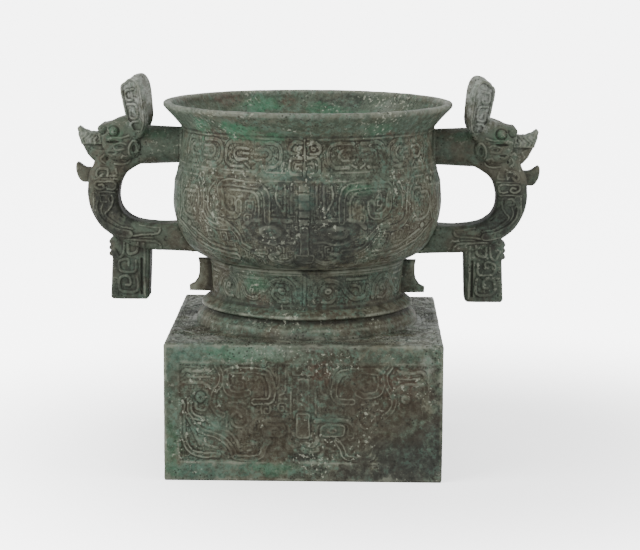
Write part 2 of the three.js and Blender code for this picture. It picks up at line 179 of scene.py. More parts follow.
class Relief:
    """The height of carving over a surface that is drawn flat, as across and up in millimetres."""

    def __init__(self, across, v):
        place = np.stack([across, v, np.zeros(len(v))], 1)
        self.u = np.abs(across) + hand_wobble(place, 21)
        self.v = v + hand_wobble(place, 22)
        self.height = np.zeros(len(v))
        self.cover = np.zeros(len(v))

    def band(self, points, width, lift=BAND_LIFT, groove=0.3, rim=1.1, steps=5):
        """A raised band along a line. Between its two rims it lies a little lower."""
        line = smooth_line(points, steps)
        distance = line_distance(self.u, self.v, line, width / 2 + 2.5)
        top = step_up(width / 2 + 0.3 - distance, 0, 0.7)
        sunk = groove * step_up(width / 2 - rim - distance, -0.1, 0.4)
        self.lay(top, lift - sunk)
        self.cover = np.maximum(self.cover, step_up(width / 2 + 1.1 - distance, 0, 0.5))

    def block(self, low, high, lift, soft=1.0, groove=0.0):
        """A flat raised rectangle with rounded corners, from one corner to the other."""
        middle_u, middle_v = (low[0] + high[0]) / 2, (low[1] + high[1]) / 2
        over_u = np.maximum(np.abs(self.u - middle_u) - (high[0] - low[0]) / 2 + soft, 0)
        over_v = np.maximum(np.abs(self.v - middle_v) - (high[1] - low[1]) / 2 + soft, 0)
        inside = soft - np.hypot(over_u, over_v)
        sunk = groove * step_up(inside, min(soft, 1.0) - 0.1, min(soft, 1.0) + 0.3)
        self.lay(step_up(inside, -0.35, 0.35), lift - sunk)
        self.cover = np.maximum(self.cover, step_up(inside, -1.2, -0.7))

    def curl(self, u, v, size, turn=1, width=1.4, lift=0.6):
        """A small square spiral of one and a half turns."""
        h = size / 2
        path = [(-h, -h), (-h, h), (h, h), (h, -h * 0.9), (-h * 0.25, -h * 0.9), (-h * 0.25, h * 0.25),
                (h * 0.3, h * 0.25)]
        self.band([(u + turn * a, v + b) for a, b in path], width, lift, groove=0, steps=3)

    def boss(self, u, v, half_width, half_height, lift, pupil=0.0, ring=0.0):
        """A round or oval boss, with a pupil and a sunk ring round it if wanted."""
        reach = np.hypot((self.u - u) / half_width, (self.v - v) / half_height)
        dome = np.sqrt(np.clip(1 - reach**2, 0, 1))
        height = lift * np.clip(dome * 1.25, 0, 1)
        if pupil:
            slit = np.hypot((self.u - u) / (half_width * 0.42), (self.v - v) / (half_height * 0.22))
            height = height - pupil * (1 - step_up(slit, 0.6, 1.3))
        self.lay((reach < 1).astype(float), height)
        if ring:
            self.height = self.height - ring * rail(reach, 1.18, 0.12)
        self.cover = np.maximum(self.cover, step_up(1.45 - reach, 0, 0.2))

    def lay(self, share, height):
        self.height = np.where(share > 0, np.maximum(self.height, share * height), self.height)

    def ground(self, share, depth=GROUND_DEPTH, cell=SPIRAL_CELL):
        """Small spirals wherever nothing else is, over the given share of the surface."""
        free = (1 - self.cover) * share
        self.height = self.height + depth * free * spiral_ground(self.u, self.v, cell)


# Motifs, drawn for the half with across over 0: the line and its width. On the bowl, across is in degrees

HORN = [(15.3, 184), (15.3, 199), (17.2, 205.5), (22.5, 208), (37, 208), (36.6, 198), (36.2, 191.5),
        (33, 187.2), (29, 187.4), (28, 191), (28, 196)]
BELLY_BROAD = [
    (HORN, 5.2),
    ([(51.5, 209), (48.4, 203), (47.3, 194), (47.2, 187), (44.8, 180.5), (39.5, 177.4), (32, 177.2)], 4.6),
    ([(70.5, 208), (67.2, 203), (65.9, 194), (66.2, 185), (69, 178.5)], 5.0),
    ([(71, 177), (63, 171.6), (57, 165.2), (49.5, 160.5), (41, 157.5), (32, 156.2)], 4.6),
    ([(37.5, 182.6), (32.5, 178.6), (28.8, 172.5), (27.6, 166.5), (23.5, 162.2), (17, 161.6)], 4.4),
]
BELLY_FINE = [
    ([(18.9, 185.5), (18.9, 197), (20.8, 202.4), (24.6, 204), (32.8, 204)], 1.8),
    ([(33, 201), (32.9, 193.5), (31, 191.2)], 1.6),
    ([(57, 203.6), (52.5, 203.2), (50.8, 199.4), (50.8, 187.5), (52.5, 184)], 2.0),
    ([(54, 199.4), (60, 200), (63, 197), (63.2, 187.5), (60.6, 182.4), (56.6, 180.6), (53, 181.2)], 2.4),
    ([(41.5, 208), (43.8, 201), (43.6, 190), (41, 184)], 1.9),
    ([(60, 176), (53.5, 171.2), (47, 165.8), (39, 161.8), (31.5, 161.2)], 2.2),
    ([(5.5, 184.2), (13.5, 185.2), (21.6, 183.8), (25.6, 179)], 3.2),
    ([(4, 169), (8, 169.6), (13, 167.6), (18, 168.4), (22.6, 172)], 2.0),
    ([(4.2, 156.6), (9, 153.4), (14, 154.6), (15.6, 158.6), (11.6, 160.8)], 3.0),
    ([(5.2, 208), (5.2, 190)], 1.7),
    ([(8, 208), (8, 189)], 1.7),
    ([(11.4, 208), (11.4, 199), (8, 189)], 1.5),
    ([(24, 160), (19, 157.4)], 1.8),
]
BELLY_CURLS = [(31.4, 196.6, 5.0, 1), (23.2, 194.2, 5.6, -1), (23.6, 185.6, 4.6, 1),
               (57.3, 193.2, 5.4, 1), (57.2, 186.6, 4.6, -1), (36.4, 170.6, 5.0, 1), (44, 172.6, 5.2, -1),
               (10.4, 163.8, 4.6, 1)]

PLINTH_HORN = [(34, 57.4), (24.5, 57.8), (21.9, 61.5), (21.6, 68), (24, 75), (29, 78.8), (50, 79.4),
               (54.2, 75.4), (53.2, 66), (50, 62.6), (43, 62), (38.2, 63.8)]
PLINTH_BROAD = [
    (PLINTH_HORN, 5.0),
    ([(24, 29.4), (27.6, 24), (29.6, 18.6), (36, 16.6), (46.6, 17), (50, 22.4), (53.6, 28), (60.4, 32.2),
      (69.2, 35.4), (76, 40.2), (80.2, 46.6)], 4.4),
    ([(60.6, 83), (57.2, 77), (57.7, 70), (61.5, 64), (63.2, 57), (61, 50.4), (56.4, 46.8)], 4.2),
    ([(79.6, 58), (79.2, 51), (76.2, 46), (70.4, 44.4)], 4.0),
    ([(84.4, 54), (84, 33), (79.6, 22.6), (71.4, 18.6), (60, 18.4)], 4.2),
]
PLINTH_FINE = [
    ([(26, 61.6), (25.8, 68), (28, 73.4), (32.4, 75.4), (47.4, 75.6), (49.6, 72.6), (48.6, 67.6)], 1.8),
    ([(9, 43.8), (22, 44.4), (31.4, 43.6), (35.4, 40.4), (36.6, 35.6)], 3.2),
    ([(10.8, 29.4), (9.6, 35.4), (12.4, 41), (28.6, 41), (31.4, 37), (29.2, 30.6), (23, 27.6)], 1.8),
    ([(36.4, 22.2), (43.6, 22.4), (46, 28.4), (51, 34.4), (59.6, 38.4), (66.8, 43.2)], 2.2),
    ([(39.4, 50.6), (38.6, 43.4), (43, 38.8), (48.8, 40.4), (50, 46.2), (46, 49.4), (43.4, 46.4)], 2.2),
    ([(64, 66), (69.5, 69.6), (77, 70.6), (84, 70), (85, 65)], 2.6),
    ([(65.6, 79.6), (73, 78.6), (82.4, 79), (85, 75.4)], 2.6),
    ([(65.4, 74.6), (73, 74.2), (80.6, 74.6)], 1.6),
    ([(66.6, 55), (69.2, 50.6), (74.4, 51.8), (74.8, 56)], 2.0),
    ([(77.6, 38.2), (74, 30.4), (66.4, 25.2), (58, 23.4)], 2.2),
    ([(12.4, 83), (12.4, 66), (16.4, 62.2)], 1.8),
    ([(16.6, 83), (16.6, 70), (18.6, 66.6)], 1.5),
    ([(8.6, 64), (8.6, 49.4)], 1.8),
    ([(1.2, 27.4), (7, 26), (9.6, 30), (6.4, 33.6)], 3.4),
    ([(12.8, 19.8), (16.6, 24), (21.6, 22.4)], 2.2),
    ([(52, 56.4), (46.4, 56.6), (40.6, 55.4)], 1.8),
]
PLINTH_CURLS = [(36.4, 69.6, 5.4, 1), (44.4, 68.8, 4.8, -1), (14.6, 53.4, 5.2, 1), (26.4, 51.4, 5.4, -1),
                (32.6, 32.8, 4.8, 1), (70.6, 27.6, 4.4, 1), (56.2, 41.2, 5.0, -1)]

# A dragon of the neck's band, 13 degrees long, and one of the foot's, 34 degrees long
NECK_DRAGON = [
    ([(12, 237), (4, 237.4), (1, 233.4), (1, 225), (4, 220.6), (9.4, 220.6)], 2.7),
    ([(12.2, 232.6), (7, 232.8), (5.2, 229.4), (7, 225.4), (12, 225.8)], 2.1),
    ([(9.8, 229.4), (12.4, 229.2)], 1.6),
    ([(11, 222.6), (13.2, 219.8)], 1.6),
]
FOOT_DRAGON = [
    ([(0, 123.4), (1.6, 133.6), (7.2, 138.4), (14.6, 136.4), (19, 130), (24.6, 124.2), (31.6, 125.2),
      (34.4, 131.4)], 3.2),
    ([(4.6, 123), (9.6, 122.6), (13.4, 126.8), (12.8, 131.4)], 2.2),
    ([(19.4, 138.6), (25.6, 138.4), (32.4, 138.6)], 2.2),
    ([(22.4, 133.8), (27.6, 132.6), (28.6, 129.2)], 1.8),
]


def in_degrees(points, per_degree=MM_PER_DEGREE):
    return [(degrees * per_degree, z) for degrees, z in points]


def belly_relief(degrees, z):
    """The mask on the belly. Degrees run from the middle of the front or the back."""
    r = Relief(degrees * MM_PER_DEGREE, z)
    for points, width in BELLY_BROAD:
        r.band(in_degrees(points), width)
    for points, width in BELLY_FINE:
        r.band(in_degrees(points), width, 0.65, groove=0)
    for across, up, size, turn in BELLY_CURLS:
        r.curl(across * MM_PER_DEGREE, up, size, turn)
    for low, high in ((204.6, 208.4), (198.6, 203.4), (192.6, 197.4), (186.6, 191.4), (181.4, 185.6)):
        r.block((-3.6, low), (3.6, high), 0.95, 0.5, groove=0.35)
    r.block((-3.2, 159), (3.2, 180.4), 1.3, 1.2, groove=0.3)
    r.block((-7.4, 153.6), (7.4, 160.4), 1.1, 2.4, groove=0.35)
    r.boss(14.2 * MM_PER_DEGREE, 176.2, 8.6, 5.2, 1.5, pupil=0.7, ring=0.25)
    r.boss(58 * MM_PER_DEGREE, 176.2, 2.6, 2.2, 1.4)
    inside = between(z, (150.5, 153), (208.6, 210)) * (1 - step_up(np.abs(degrees), 71, 73.5))
    r.ground(inside)
    rails = rail(z, 211.4, 1.0) * 0.7 + rail(z, 151.5, 1.2) * 0.4
    return r.height - 0.25 * inside + 0.7 * rails


def neck_relief(degrees, z):
    """A beast's head in the middle, and two pairs of dragons on each side of it."""
    r = Relief(degrees * MM_PER_DEGREE, z)
    for k, start in enumerate((9.6, 24.6, 38.6, 53.6)):
        for points, width in NECK_DRAGON:
            drawn = [(start + (13 - d if k % 2 else d), height) for d, height in points]
            r.band(in_degrees(drawn), width, 0.7, groove=0.1, rim=0.8, steps=3)
    r.band([(0, 240.4), (0, 214.6)], 1.5, 1.4, groove=0)
    for points, width in (
        ([(1.2, 238), (4.8, 238), (6.6, 234.6), (6, 231), (2.6, 230.4)], 2.4),
        ([(1.4, 227.6), (5.6, 227.4), (6.4, 222), (5.8, 216.8), (1.4, 216.4)], 2.2),
        ([(1.4, 223.8), (3.8, 223.4), (3.8, 219.8), (1.8, 219.6)], 1.5),
    ):
        r.band(in_degrees(points), width, 0.9, groove=0, steps=2)
    r.boss(3.6 * MM_PER_DEGREE, 233.9, 2.2, 1.9, 1.1, pupil=0.4)
    inside = between(z, (218.2, 219.2), (238.6, 239.6)) * (1 - step_up(np.abs(degrees), 67, 69))
    r.ground(inside, depth=0.5, cell=4.4)
    rails = rail(z, 217.4, 0.8) + rail(z, 240.4, 0.9)
    faint = rail(z, 212.6, 0.6) + rail(z, 215.2, 0.6)
    return r.height - 0.3 * inside + (0.45 * rails + 0.3 * faint) * (1 - r.cover)


def foot_relief(degrees, z):
    """Long dragons run round the ring foot, between two rails."""
    per_degree = 0.72 * MM_PER_DEGREE
    r = Relief(degrees * per_degree, z)
    for start in (5.5, 43.5):
        for points, width in FOOT_DRAGON:
            drawn = [(start + d, height) for d, height in points]
            r.band(in_degrees(drawn, per_degree), width, 0.7, groove=0.15)
        r.boss((start + 8) * per_degree, 130.6, 2.8, 2.5, 1.2, pupil=0.5)
    r.band([(0, 141), (0, 121)], 2.2, 1.1, groove=0)
    inside = between(z, (120.3, 121.2), (140.5, 141.5)) * (1 - step_up(np.abs(degrees), 80, 82))
    r.ground(inside, depth=0.4, cell=4.8)
    rails = rail(z, 119.6, 0.8) + rail(z, 142.3, 0.9)
    return r.height - 0.3 * inside + 0.6 * rails * (1 - r.cover)


def plinth_relief(across, z):
    """The mask on a side of the plinth: horns, brows, eyes and jaw, and a dragon at each end."""
    r = Relief(across, z)
    for points, width in PLINTH_BROAD:
        r.band(points, width, 0.85, groove=0.4)
    for points, width in PLINTH_FINE:
        r.band(points, width, 0.45, groove=0)
    for u, v, size, turn in PLINTH_CURLS:
        r.curl(u, v, size, turn, lift=0.4)
    r.block((-7.6, 76), (7.6, 86), 0.6, 1.0, groove=0.35)
    r.block((-4.4, 51), (4.4, 74), 0.6, 1.0, groove=0.35)
    r.block((-4.8, 31), (4.8, 49.4), 1.1, 2.0, groove=0.25)
    r.block((12, 32), (29.4, 41.4), 1.1, 3.2, groove=0.35)
    r.boss(20.4, 36.8, 4.6, 2.6, 1.2, pupil=0.5)
    r.boss(71.8, 60.0, 3.6, 3.6, 1.5, pupil=0.5, ring=0.25)
    inside = between(z, (PANEL_LOW - 0.4, PANEL_LOW + 1.2), (PANEL_HIGH - 1.2, PANEL_HIGH + 0.4))
    inside = (1 - step_up(np.abs(across), PANEL_HALF - 1.5, PANEL_HALF + 0.3)) * inside
    r.ground(inside, depth=0.3)
    mouth = (1 - step_up(np.abs(across), 9, 12)) * between(z, (15, 16.5), (19.5, 21.5))
    return (r.height - PANEL_RECESS) * inside - 0.9 * mouth


def top_relief(x, y):
    """Leaf-shaped strokes on the plinth's top, in the corners that the ring foot leaves free."""
    r = Relief(x, np.abs(y))
    for points in ([(64, 92), (76, 88), (84, 80), (92, 64)], [(72, 92.5), (85, 90), (91, 84), (92.5, 72)],
                   [(40, 92), (52, 86), (62, 78)], [(92, 40), (86, 52), (78, 62)]):
        r.band(points, 3.0, 1.1, groove=0)
    for u, v in ((54, 90.4), (90.4, 54), (30, 91.4), (91.4, 30), (84, 76), (68, 84)):
        r.curl(u, v, 5.0, 1, 1.6, 1.0)
    r.boss(76.5, 76.5, 4.0, 4.0, 1.2, pupil=0.5)
    inside = (1 - step_up(np.maximum(np.abs(x), np.abs(y)), 93.5, 94.5)) * step_up(np.hypot(x, y), 84, 85.5)
    r.ground(inside, depth=0.9)
    return (r.height - 0.8) * inside


# Mesh helpers

def as_object(name, bm):
    mesh = bpy.data.meshes.new(name)
    bm.to_mesh(mesh)
    bm.free()
    made = bpy.data.objects.new(name, mesh)
    bpy.context.scene.collection.objects.link(made)
    return made


def corners_of(mesh):
    co = np.empty(len(mesh.vertices) * 3)
    mesh.vertices.foreach_get("co", co)
    return co.reshape(-1, 3)


def normals_of(mesh):
    n = np.empty(len(mesh.vertices) * 3)
    mesh.vertices.foreach_get("normal", n)
    return n.reshape(-1, 3)


def place_corners(mesh, co):
    mesh.vertices.foreach_set("co", co.astype(np.float32).ravel())
    mesh.update()


def apply_modifiers(obj):
    """The object's mesh becomes what its modifiers make of it."""
    graph = bpy.context.evaluated_depsgraph_get()
    made = bpy.data.meshes.new_from_object(obj.evaluated_get(graph), depsgraph=graph)
    old = obj.data
    obj.modifiers.clear()
    obj.data = made
    bpy.data.meshes.remove(old)


def combine(obj, other, operation):
    """A boolean join or cut, after which the other object is gone."""
    modifier = obj.modifiers.new(operation.lower(), "BOOLEAN")
    modifier.operation = operation
    modifier.solver = "MANIFOLD"
    modifier.object = other
    apply_modifiers(obj)
    bpy.data.objects.remove(other)


def thin_out(obj, triangles):
    """Takes out the corners that a flat stretch doesn't need."""
    count = sum(len(p.vertices) - 2 for p in obj.data.polygons)
    if count > triangles:
        modifier = obj.modifiers.new("thin", "DECIMATE")
        modifier.ratio = triangles / count
        apply_modifiers(obj)


def finish_mesh(obj, calm_above=1e6):
    """Metres, smooth shading, and a mark of how far each corner stands out of what is round it."""
    mesh = obj.data
    mesh.transform(Matrix.Scale(MM, 4))
    mesh.shade_smooth()
    co = corners_of(mesh) / MM
    normals = normals_of(mesh)
    edges = np.empty(len(mesh.edges) * 2, np.int64)
    mesh.edges.foreach_get("vertices", edges)
    a, b = edges.reshape(-1, 2).T
    degree = np.bincount(a, minlength=len(co)) + np.bincount(b, minlength=len(co))
    for name, rounds, scale in (("fine_relief", 6, 0.35), ("broad_relief", 60, 0.9)):
        soft = co.copy()
        for _ in range(rounds):
            total = np.stack([
                np.bincount(a, soft[b, k], len(co)) + np.bincount(b, soft[a, k], len(co)) for k in range(3)
            ], 1)
            soft = 0.4 * soft + 0.6 * total / np.maximum(degree, 1)[:, None]
        standing = ((co - soft) * normals).sum(1) / scale
        standing *= np.where(co[:, 2] > calm_above, 0.3, 1)
        layer = mesh.attributes.new(name, "FLOAT", "POINT")
        layer.data.foreach_set("value", np.clip(0.5 + 0.5 * standing, 0, 1).astype(np.float32))


# Bowl and ring foot

OUTSIDE = [(101.8, 259.2), (104.4, 258.9), (105.0, 258.0), (105.0, 256.3), (104.2, 255.2), (102.2, 253.0),
           (99.4, 250.2), (96.6, 247.2), (94.2, 244.3), (92.2, 241.7), (91.2, 239.0), (91.0, 236.5),
           (92.0, 226.0), (94.0, 213.3), (96.1, 205.5), (97.2, 201.0), (98.0, 187.0), (97.5, 181.0),
           (96.6, 176.0), (95.3, 171.0), (93.6, 166.5), (90.7, 160.5), (87.2, 155.3), (83.2, 151.6),
           (78.0, 148.3), (72.5, 146.2)]
FOOT_OUTSIDE = [(70.9, 144.5), (70.4, 139.0), (69.6, 128.0), (69.4, 119.4), (70.3, 118.2), (72.5, 116.6),
                (75.5, 114.4), (77.3, 112.8), (77.5, 111.6), (75.6, 110.6), (75.9, 109.0), (78.2, 106.2),
                (80.0, 104.0), (81.0, 101.0), (81.5, 98.0)]


def spaced(points, gap):
    """The points of a line, thinned until no two that follow each other are nearer than the gap."""
    kept = [points[0]]
    for point in points[1:]:
        if np.hypot(*(point - kept[-1])) >= gap(point[1]):
            kept.append(point)
    return np.array(kept)


def bowl_profile():
    """The closed outline of the bowl, from the lip down outside and back up inside."""
    outside = spaced(smooth_line(OUTSIDE, 30), lambda z: ROW_STEP if z < 241 else LIP_ROW_STEP)
    floor = [(60.0, 144.5), (30.0, 144.5), (0.0, 144.5)]
    inside = smooth_line([
        (0.0, 149.0), (40.0, 149.1), (62.0, 149.8), (72.0, 151.9), (79.5, 155.6), (84.5, 160.2),
        (88.3, 166.5), (91.0, 174.0), (93.0, 184.0), (93.4, 189.0), (92.6, 200.0), (89.6, 212.5),
        (87.4, 226.0), (86.5, 236.0), (87.2, 241.0), (89.8, 245.6), (93.5, 249.4), (96.9, 253.2),
        (98.3, 256.3), (99.6, 258.6),
    ], 4)
    return np.vstack([outside, floor, inside])


def foot_profile():
    """The closed outline of the ring foot, down its outside and back up its hollow, into the bowl's floor."""
    straight = spaced(smooth_line(FOOT_OUTSIDE[:4], 24), lambda z: ROW_STEP)
    flare = spaced(smooth_line(FOOT_OUTSIDE[3:], 8), lambda z: 0.9)
    hollow = smooth_line([
        (THROAT_RADIUS, 97.7), (68.5, 108.0), (64.7, 116.0), (65.3, 130.0), (66.0, 138.5), (63.0, 142.8),
        (58.0, 144.5),
    ], 3)
    return np.vstack([[(69.8, 146.0)], straight, flare[1:], [(81.4, 97.7)], hollow, [(58.0, 146.0)]])


def outside_radius(z):
    rows = np.vstack([smooth_line(OUTSIDE, 12)[20:], smooth_line(FOOT_OUTSIDE[:4], 12)])
    order = np.argsort(rows[:, 1])
    return np.interp(z, rows[order, 1], rows[order, 0])


def make_turned(name, profile, steps, reliefs):
    """A flat sheet, wrapped round the axis along the profile, then carved between the given heights."""
    profile = np.vstack([profile, profile[:1]])
    rows = len(profile) - 1
    bm = bmesh.new()
    bmesh.ops.create_grid(bm, x_segments=steps, y_segments=rows, size=1)
    made = as_object(name, bm)
    sheet = corners_of(made.data)
    turn = (sheet[:, 0] + 1) * math.pi
    radius, z = profile[np.rint((sheet[:, 1] + 1) / 2 * rows).astype(int)].T
    place_corners(made.data, np.stack([radius * np.sin(turn), -radius * np.cos(turn), z], 1))
    weld(made, 0.02)
    co, normals = corners_of(made.data), normals_of(made.data)
    radius, z = np.hypot(co[:, 0], co[:, 1]), co[:, 2]
    degrees = (np.degrees(np.arctan2(co[:, 0], -co[:, 1])) + 90) % 180 - 90
    carved = np.abs(radius - outside_radius(z)) < 0.6
    height = np.zeros(len(co))
    for relief, (low, high) in reliefs:
        chosen = np.flatnonzero(carved & (z > low) & (z <= high))
        height[chosen] = relief(degrees[chosen], z[chosen])
    height = corroded(height, co) + wear(co)
    place_corners(made.data, co + normals * height[:, None])
    thin_out(made, PIECE_TRIANGLES)
    return made


def make_bowl():
    reliefs = ((belly_relief, BELLY_CARVED), (neck_relief, NECK_CARVED))
    bowl = make_turned("bowl", bowl_profile(), BOWL_STEPS, reliefs)
    finish_mesh(bowl, calm_above=LIP_START)
    return bowl


def make_foot():
    foot = make_turned("ring_foot", foot_profile(), FOOT_STEPS, ((foot_relief, FOOT_CARVED),))
    for sign in (1, -1):
        combine(foot, make_flange(sign), "UNION")
    finish_mesh(foot)
    return foot


def weld(obj, distance):
    bm = bmesh.new()
    bm.from_mesh(obj.data)
    bmesh.ops.remove_doubles(bm, verts=bm.verts, dist=distance)
    bmesh.ops.recalc_face_normals(bm, faces=bm.faces)
    bm.to_mesh(obj.data)
    bm.free()


def wear(co):
    """The unevenness that casting and burial leave."""
    pits = np.clip(value_noise(co, 3.1, 9) - 0.45, 0, 1)
    waves = 0.14 * value_noise(co, 26.0, 3) + 0.1 * value_noise(co, 7.0, 5) + 0.08 * value_noise(co, 2.0, 7)
    return waves - 0.5 * pits


def corroded(height, co):
    """The carving, a little flatter where the crust has filled it and sharper where it is clean."""
    share = np.clip(0.78 + 0.42 * value_noise(co, 19.0, 11) + 0.26 * value_noise(co, 5.5, 13), 0.2, 1.15)
    away = np.linalg.norm((co - CRUST_PLACE) / CRUST_REACH, axis=1) + 0.15 * value_noise(co, 9.0, 15)
    return height * share * (1 - 0.8 * (1 - step_up(away, 0.7, 1.25)))


def make_flange(sign):
    outline = [(67, 118.5), (86.4, 118.9), (86.6, 122.8), (83, 124.6), (80.3, 128.4), (79.3, 133),
               (79.3, 139), (80, 143), (67, 143)]
    flange = slab("flange", outline, 7.0, 1.2)
    flange.data.transform(Matrix.Rotation(0 if sign > 0 else math.pi, 4, "Z"))
    return flange


def slab(name, outline, thickness, edge, smooth=False):
    """A flat outline in x and z, thick along y, with a rounded edge."""
    points = smooth_line(outline + outline[:1], 6)[:-1] if smooth else np.array(outline, float)
    curve = bpy.data.curves.new(name, "CURVE")
    curve.dimensions = "2D"
    curve.fill_mode = "BOTH"
    curve.extrude = thickness / 2 - edge
    curve.bevel_depth = edge
    curve.bevel_resolution = 4
    curve.offset = -edge
    spline = curve.splines.new("POLY")
    spline.points.add(len(points) - 1)
    for point, (x, z) in zip(spline.points, points):
        point.co = (x, z, 0, 1)
    spline.use_cyclic_u = True
    made = bpy.data.objects.new(name, curve)
    bpy.context.scene.collection.objects.link(made)
    graph = bpy.context.evaluated_depsgraph_get()
    mesh = bpy.data.meshes.new_from_object(made.evaluated_get(graph), depsgraph=graph)
    bpy.data.objects.remove(made)
    bm = bmesh.new()
    bm.from_mesh(mesh)
    bpy.data.meshes.remove(mesh)
    bmesh.ops.remove_doubles(bm, verts=bm.verts, dist=0.01)
    bmesh.ops.rotate(bm, verts=bm.verts, cent=(0, 0, 0), matrix=Matrix.Rotation(math.pi / 2, 3, "X"))
    bmesh.ops.recalc_face_normals(bm, faces=bm.faces)
    return as_object(name, bm)


# Plinth

def box_object(name, width, low, high):
    bm = bmesh.new()
    bmesh.ops.create_cube(bm, size=1)
    bmesh.ops.scale(bm, vec=(width, width, high - low), verts=bm.verts)
    bmesh.ops.translate(bm, vec=(0, 0, (low + high) / 2), verts=bm.verts)
    return as_object(name, bm)


def disc_object(name, radius, low, high):
    bm = bmesh.new()
    bmesh.ops.create_cone(bm, cap_ends=True, segments=96, radius1=radius, radius2=radius, depth=high - low)
    bmesh.ops.translate(bm, vec=(0, 0, (low + high) / 2), verts=bm.verts)
    return as_object(name, bm)


def make_plinth():
    half = PLINTH_WIDTH / 2
    across, up = round(PLINTH_WIDTH / PLINTH_STEP), round(PLINTH_HEIGHT / PLINTH_STEP)
    bm = bmesh.new()
    bmesh.ops.create_grid(bm, x_segments=across, y_segments=up, size=0.5)
    bmesh.ops.scale(bm, vec=(PLINTH_WIDTH, PLINTH_HEIGHT, 1), verts=bm.verts)
    bmesh.ops.rotate(bm, verts=bm.verts, cent=(0, 0, 0), matrix=Matrix.Rotation(math.pi / 2, 3, "X"))
    bmesh.ops.translate(bm, vec=(0, -half, PLINTH_HEIGHT / 2), verts=bm.verts)
    bmesh.ops.spin(bm, geom=bm.faces, axis=(0, 0, 1), cent=(0, 0, 0), angle=2 * math.pi, steps=4,
                   use_duplicate=True)
    top = bmesh.ops.create_grid(bm, x_segments=across, y_segments=across, size=half)
    bmesh.ops.translate(bm, vec=(0, 0, PLINTH_HEIGHT), verts=top["verts"])
    bmesh.ops.remove_doubles(bm, verts=bm.verts, dist=0.05)
    bmesh.ops.holes_fill(bm, edges=[e for e in bm.edges if e.is_boundary], sides=0)
    bmesh.ops.recalc_face_normals(bm, faces=bm.faces)
    plinth = as_object("plinth", bm)
    co = corners_of(plinth.data)
    x, y, z = co.T
    on_top = z > PLINTH_HEIGHT - 1e-3
    on_x = (np.abs(x) > half - 1e-3) & ~on_top
    on_y = (np.abs(y) > half - 1e-3) & ~on_top
    height = np.zeros(len(co))
    height[on_y] = plinth_relief(x[on_y], z[on_y])
    height[on_x & ~on_y] = plinth_relief(y[on_x & ~on_y], z[on_x & ~on_y])
    height[on_top] = top_relief(x[on_top], y[on_top])
    height = corroded(height, co)
    core = np.clip(co, [-half + EDGE_ROUND, -half + EDGE_ROUND, EDGE_ROUND],
                   [half - EDGE_ROUND, half - EDGE_ROUND, PLINTH_HEIGHT - EDGE_ROUND])
    outwards = co - core
    outwards /= np.maximum(np.linalg.norm(outwards, axis=1), 1e-6)[:, None]
    shaped = core + outwards * (EDGE_ROUND + (height + wear(co))[:, None])
    shaped[:, 2] = np.where(z < 1e-3, 0.0, shaped[:, 2])
    place_corners(plinth.data, shaped)
    room = box_object("room", PLINTH_WIDTH - 2 * PLINTH_WALL, -5, PLINTH_HEIGHT - PLINTH_WALL)
    combine(plinth, room, "DIFFERENCE")
    combine(plinth, disc_object("throat", THROAT_RADIUS, 80, 120), "DIFFERENCE")
    thin_out(plinth, PIECE_TRIANGLES)
    finish_mesh(plinth)
    return plinth


# Handles, drawn for the one on the right

BODY = [(114, 226), (116, 238.4), (121, 241.4), (134, 244.3), (146, 240.6), (151.4, 230), (155.4, 214),
        (159, 206), (160, 198), (160.2, 190), (158.6, 181), (155, 173), (150.2, 166.5), (144.6, 162),
        (137, 157), (126, 152), (114, 150), (100, 149.6), (86, 149), (77.8, 149.3), (84, 155), (88, 161),
        (91, 166.5), (93, 169.6), (106, 169.2), (119, 170.4), (127.3, 172.6), (134, 177.6),
        (137.3, 184.5), (137.6, 192), (135.6, 200), (131.5, 206.4), (124, 211.6), (117, 215), (114, 219)]
SKULL = [(120, 222), (121, 238), (125, 245), (132, 247.2), (138, 245.8), (144, 243.1), (149.4, 241.6),
         (151.2, 238.6), (151, 232), (149, 224), (143, 217), (130, 216)]
BEAK = [((144, 214), (144, 236.5), 13.8), ((150.5, 213.2), (149, 236.2), 13.6),
        ((156.5, 214.8), (154, 235.8), 13.0), ((160.5, 219.2), (157.5, 235.8), 11.5),
        ((164.2, 226.2), (160.8, 236.6), 9.0), ((166.4, 232.8), (164, 238), 6.0),
        ((167.4, 237.2), (166.3, 239.4), 2.4)]
EAR = [(-2, -3), (-7.2, 3.4), (-9.8, 10), (-10.4, 20), (-10.2, 33.5), (-6.5, 40.6), (-1, 41.5),
       (4.5, 38.6), (9.6, 34.2), (9.2, 20), (7.6, 9), (3.6, 0), (1, -3)]
HOOK = [(155, 209.6), (162, 209.8), (168, 213.4), (169.4, 210.4), (168.6, 204.5), (165.6, 199.6),
        (161.5, 198.6), (155, 200.6)]
PENDANT = [(114, 158), (114.6, 148), (115.8, 114.6), (117.6, 113), (142.6, 113), (144, 114.8),
           (142.6, 143), (143.6, 150), (143.2, 157), (141, 162), (128, 164)]
BEAK_CORNERS = 32
HEAD_HALF = 16.0
EAR_ASIDE = 13.44
EAR_BASE = 236.0
EAR_DISTANCE = 122.0
EYE = (140.0, 237.4)
NOSTRIL = (149.0, 239.0)
STUD_RADIUS = 2.9
HEAD_TOP = 248.5
SIDE_END = 156.0


def tube(name, start, end, radius_start, radius_end):
    """A round bar along x."""
    bm = bmesh.new()
    bmesh.ops.create_cone(bm, cap_ends=True, segments=64, radius1=radius_start, radius2=radius_end,
                          depth=end[0] - start[0])
    bmesh.ops.rotate(bm, verts=bm.verts, cent=(0, 0, 0), matrix=Matrix.Rotation(math.pi / 2, 3, "Y"))
    bmesh.ops.translate(bm, verts=bm.verts, vec=((start[0] + end[0]) / 2, 0, (start[1] + end[1]) / 2))
    return as_object(name, bm)


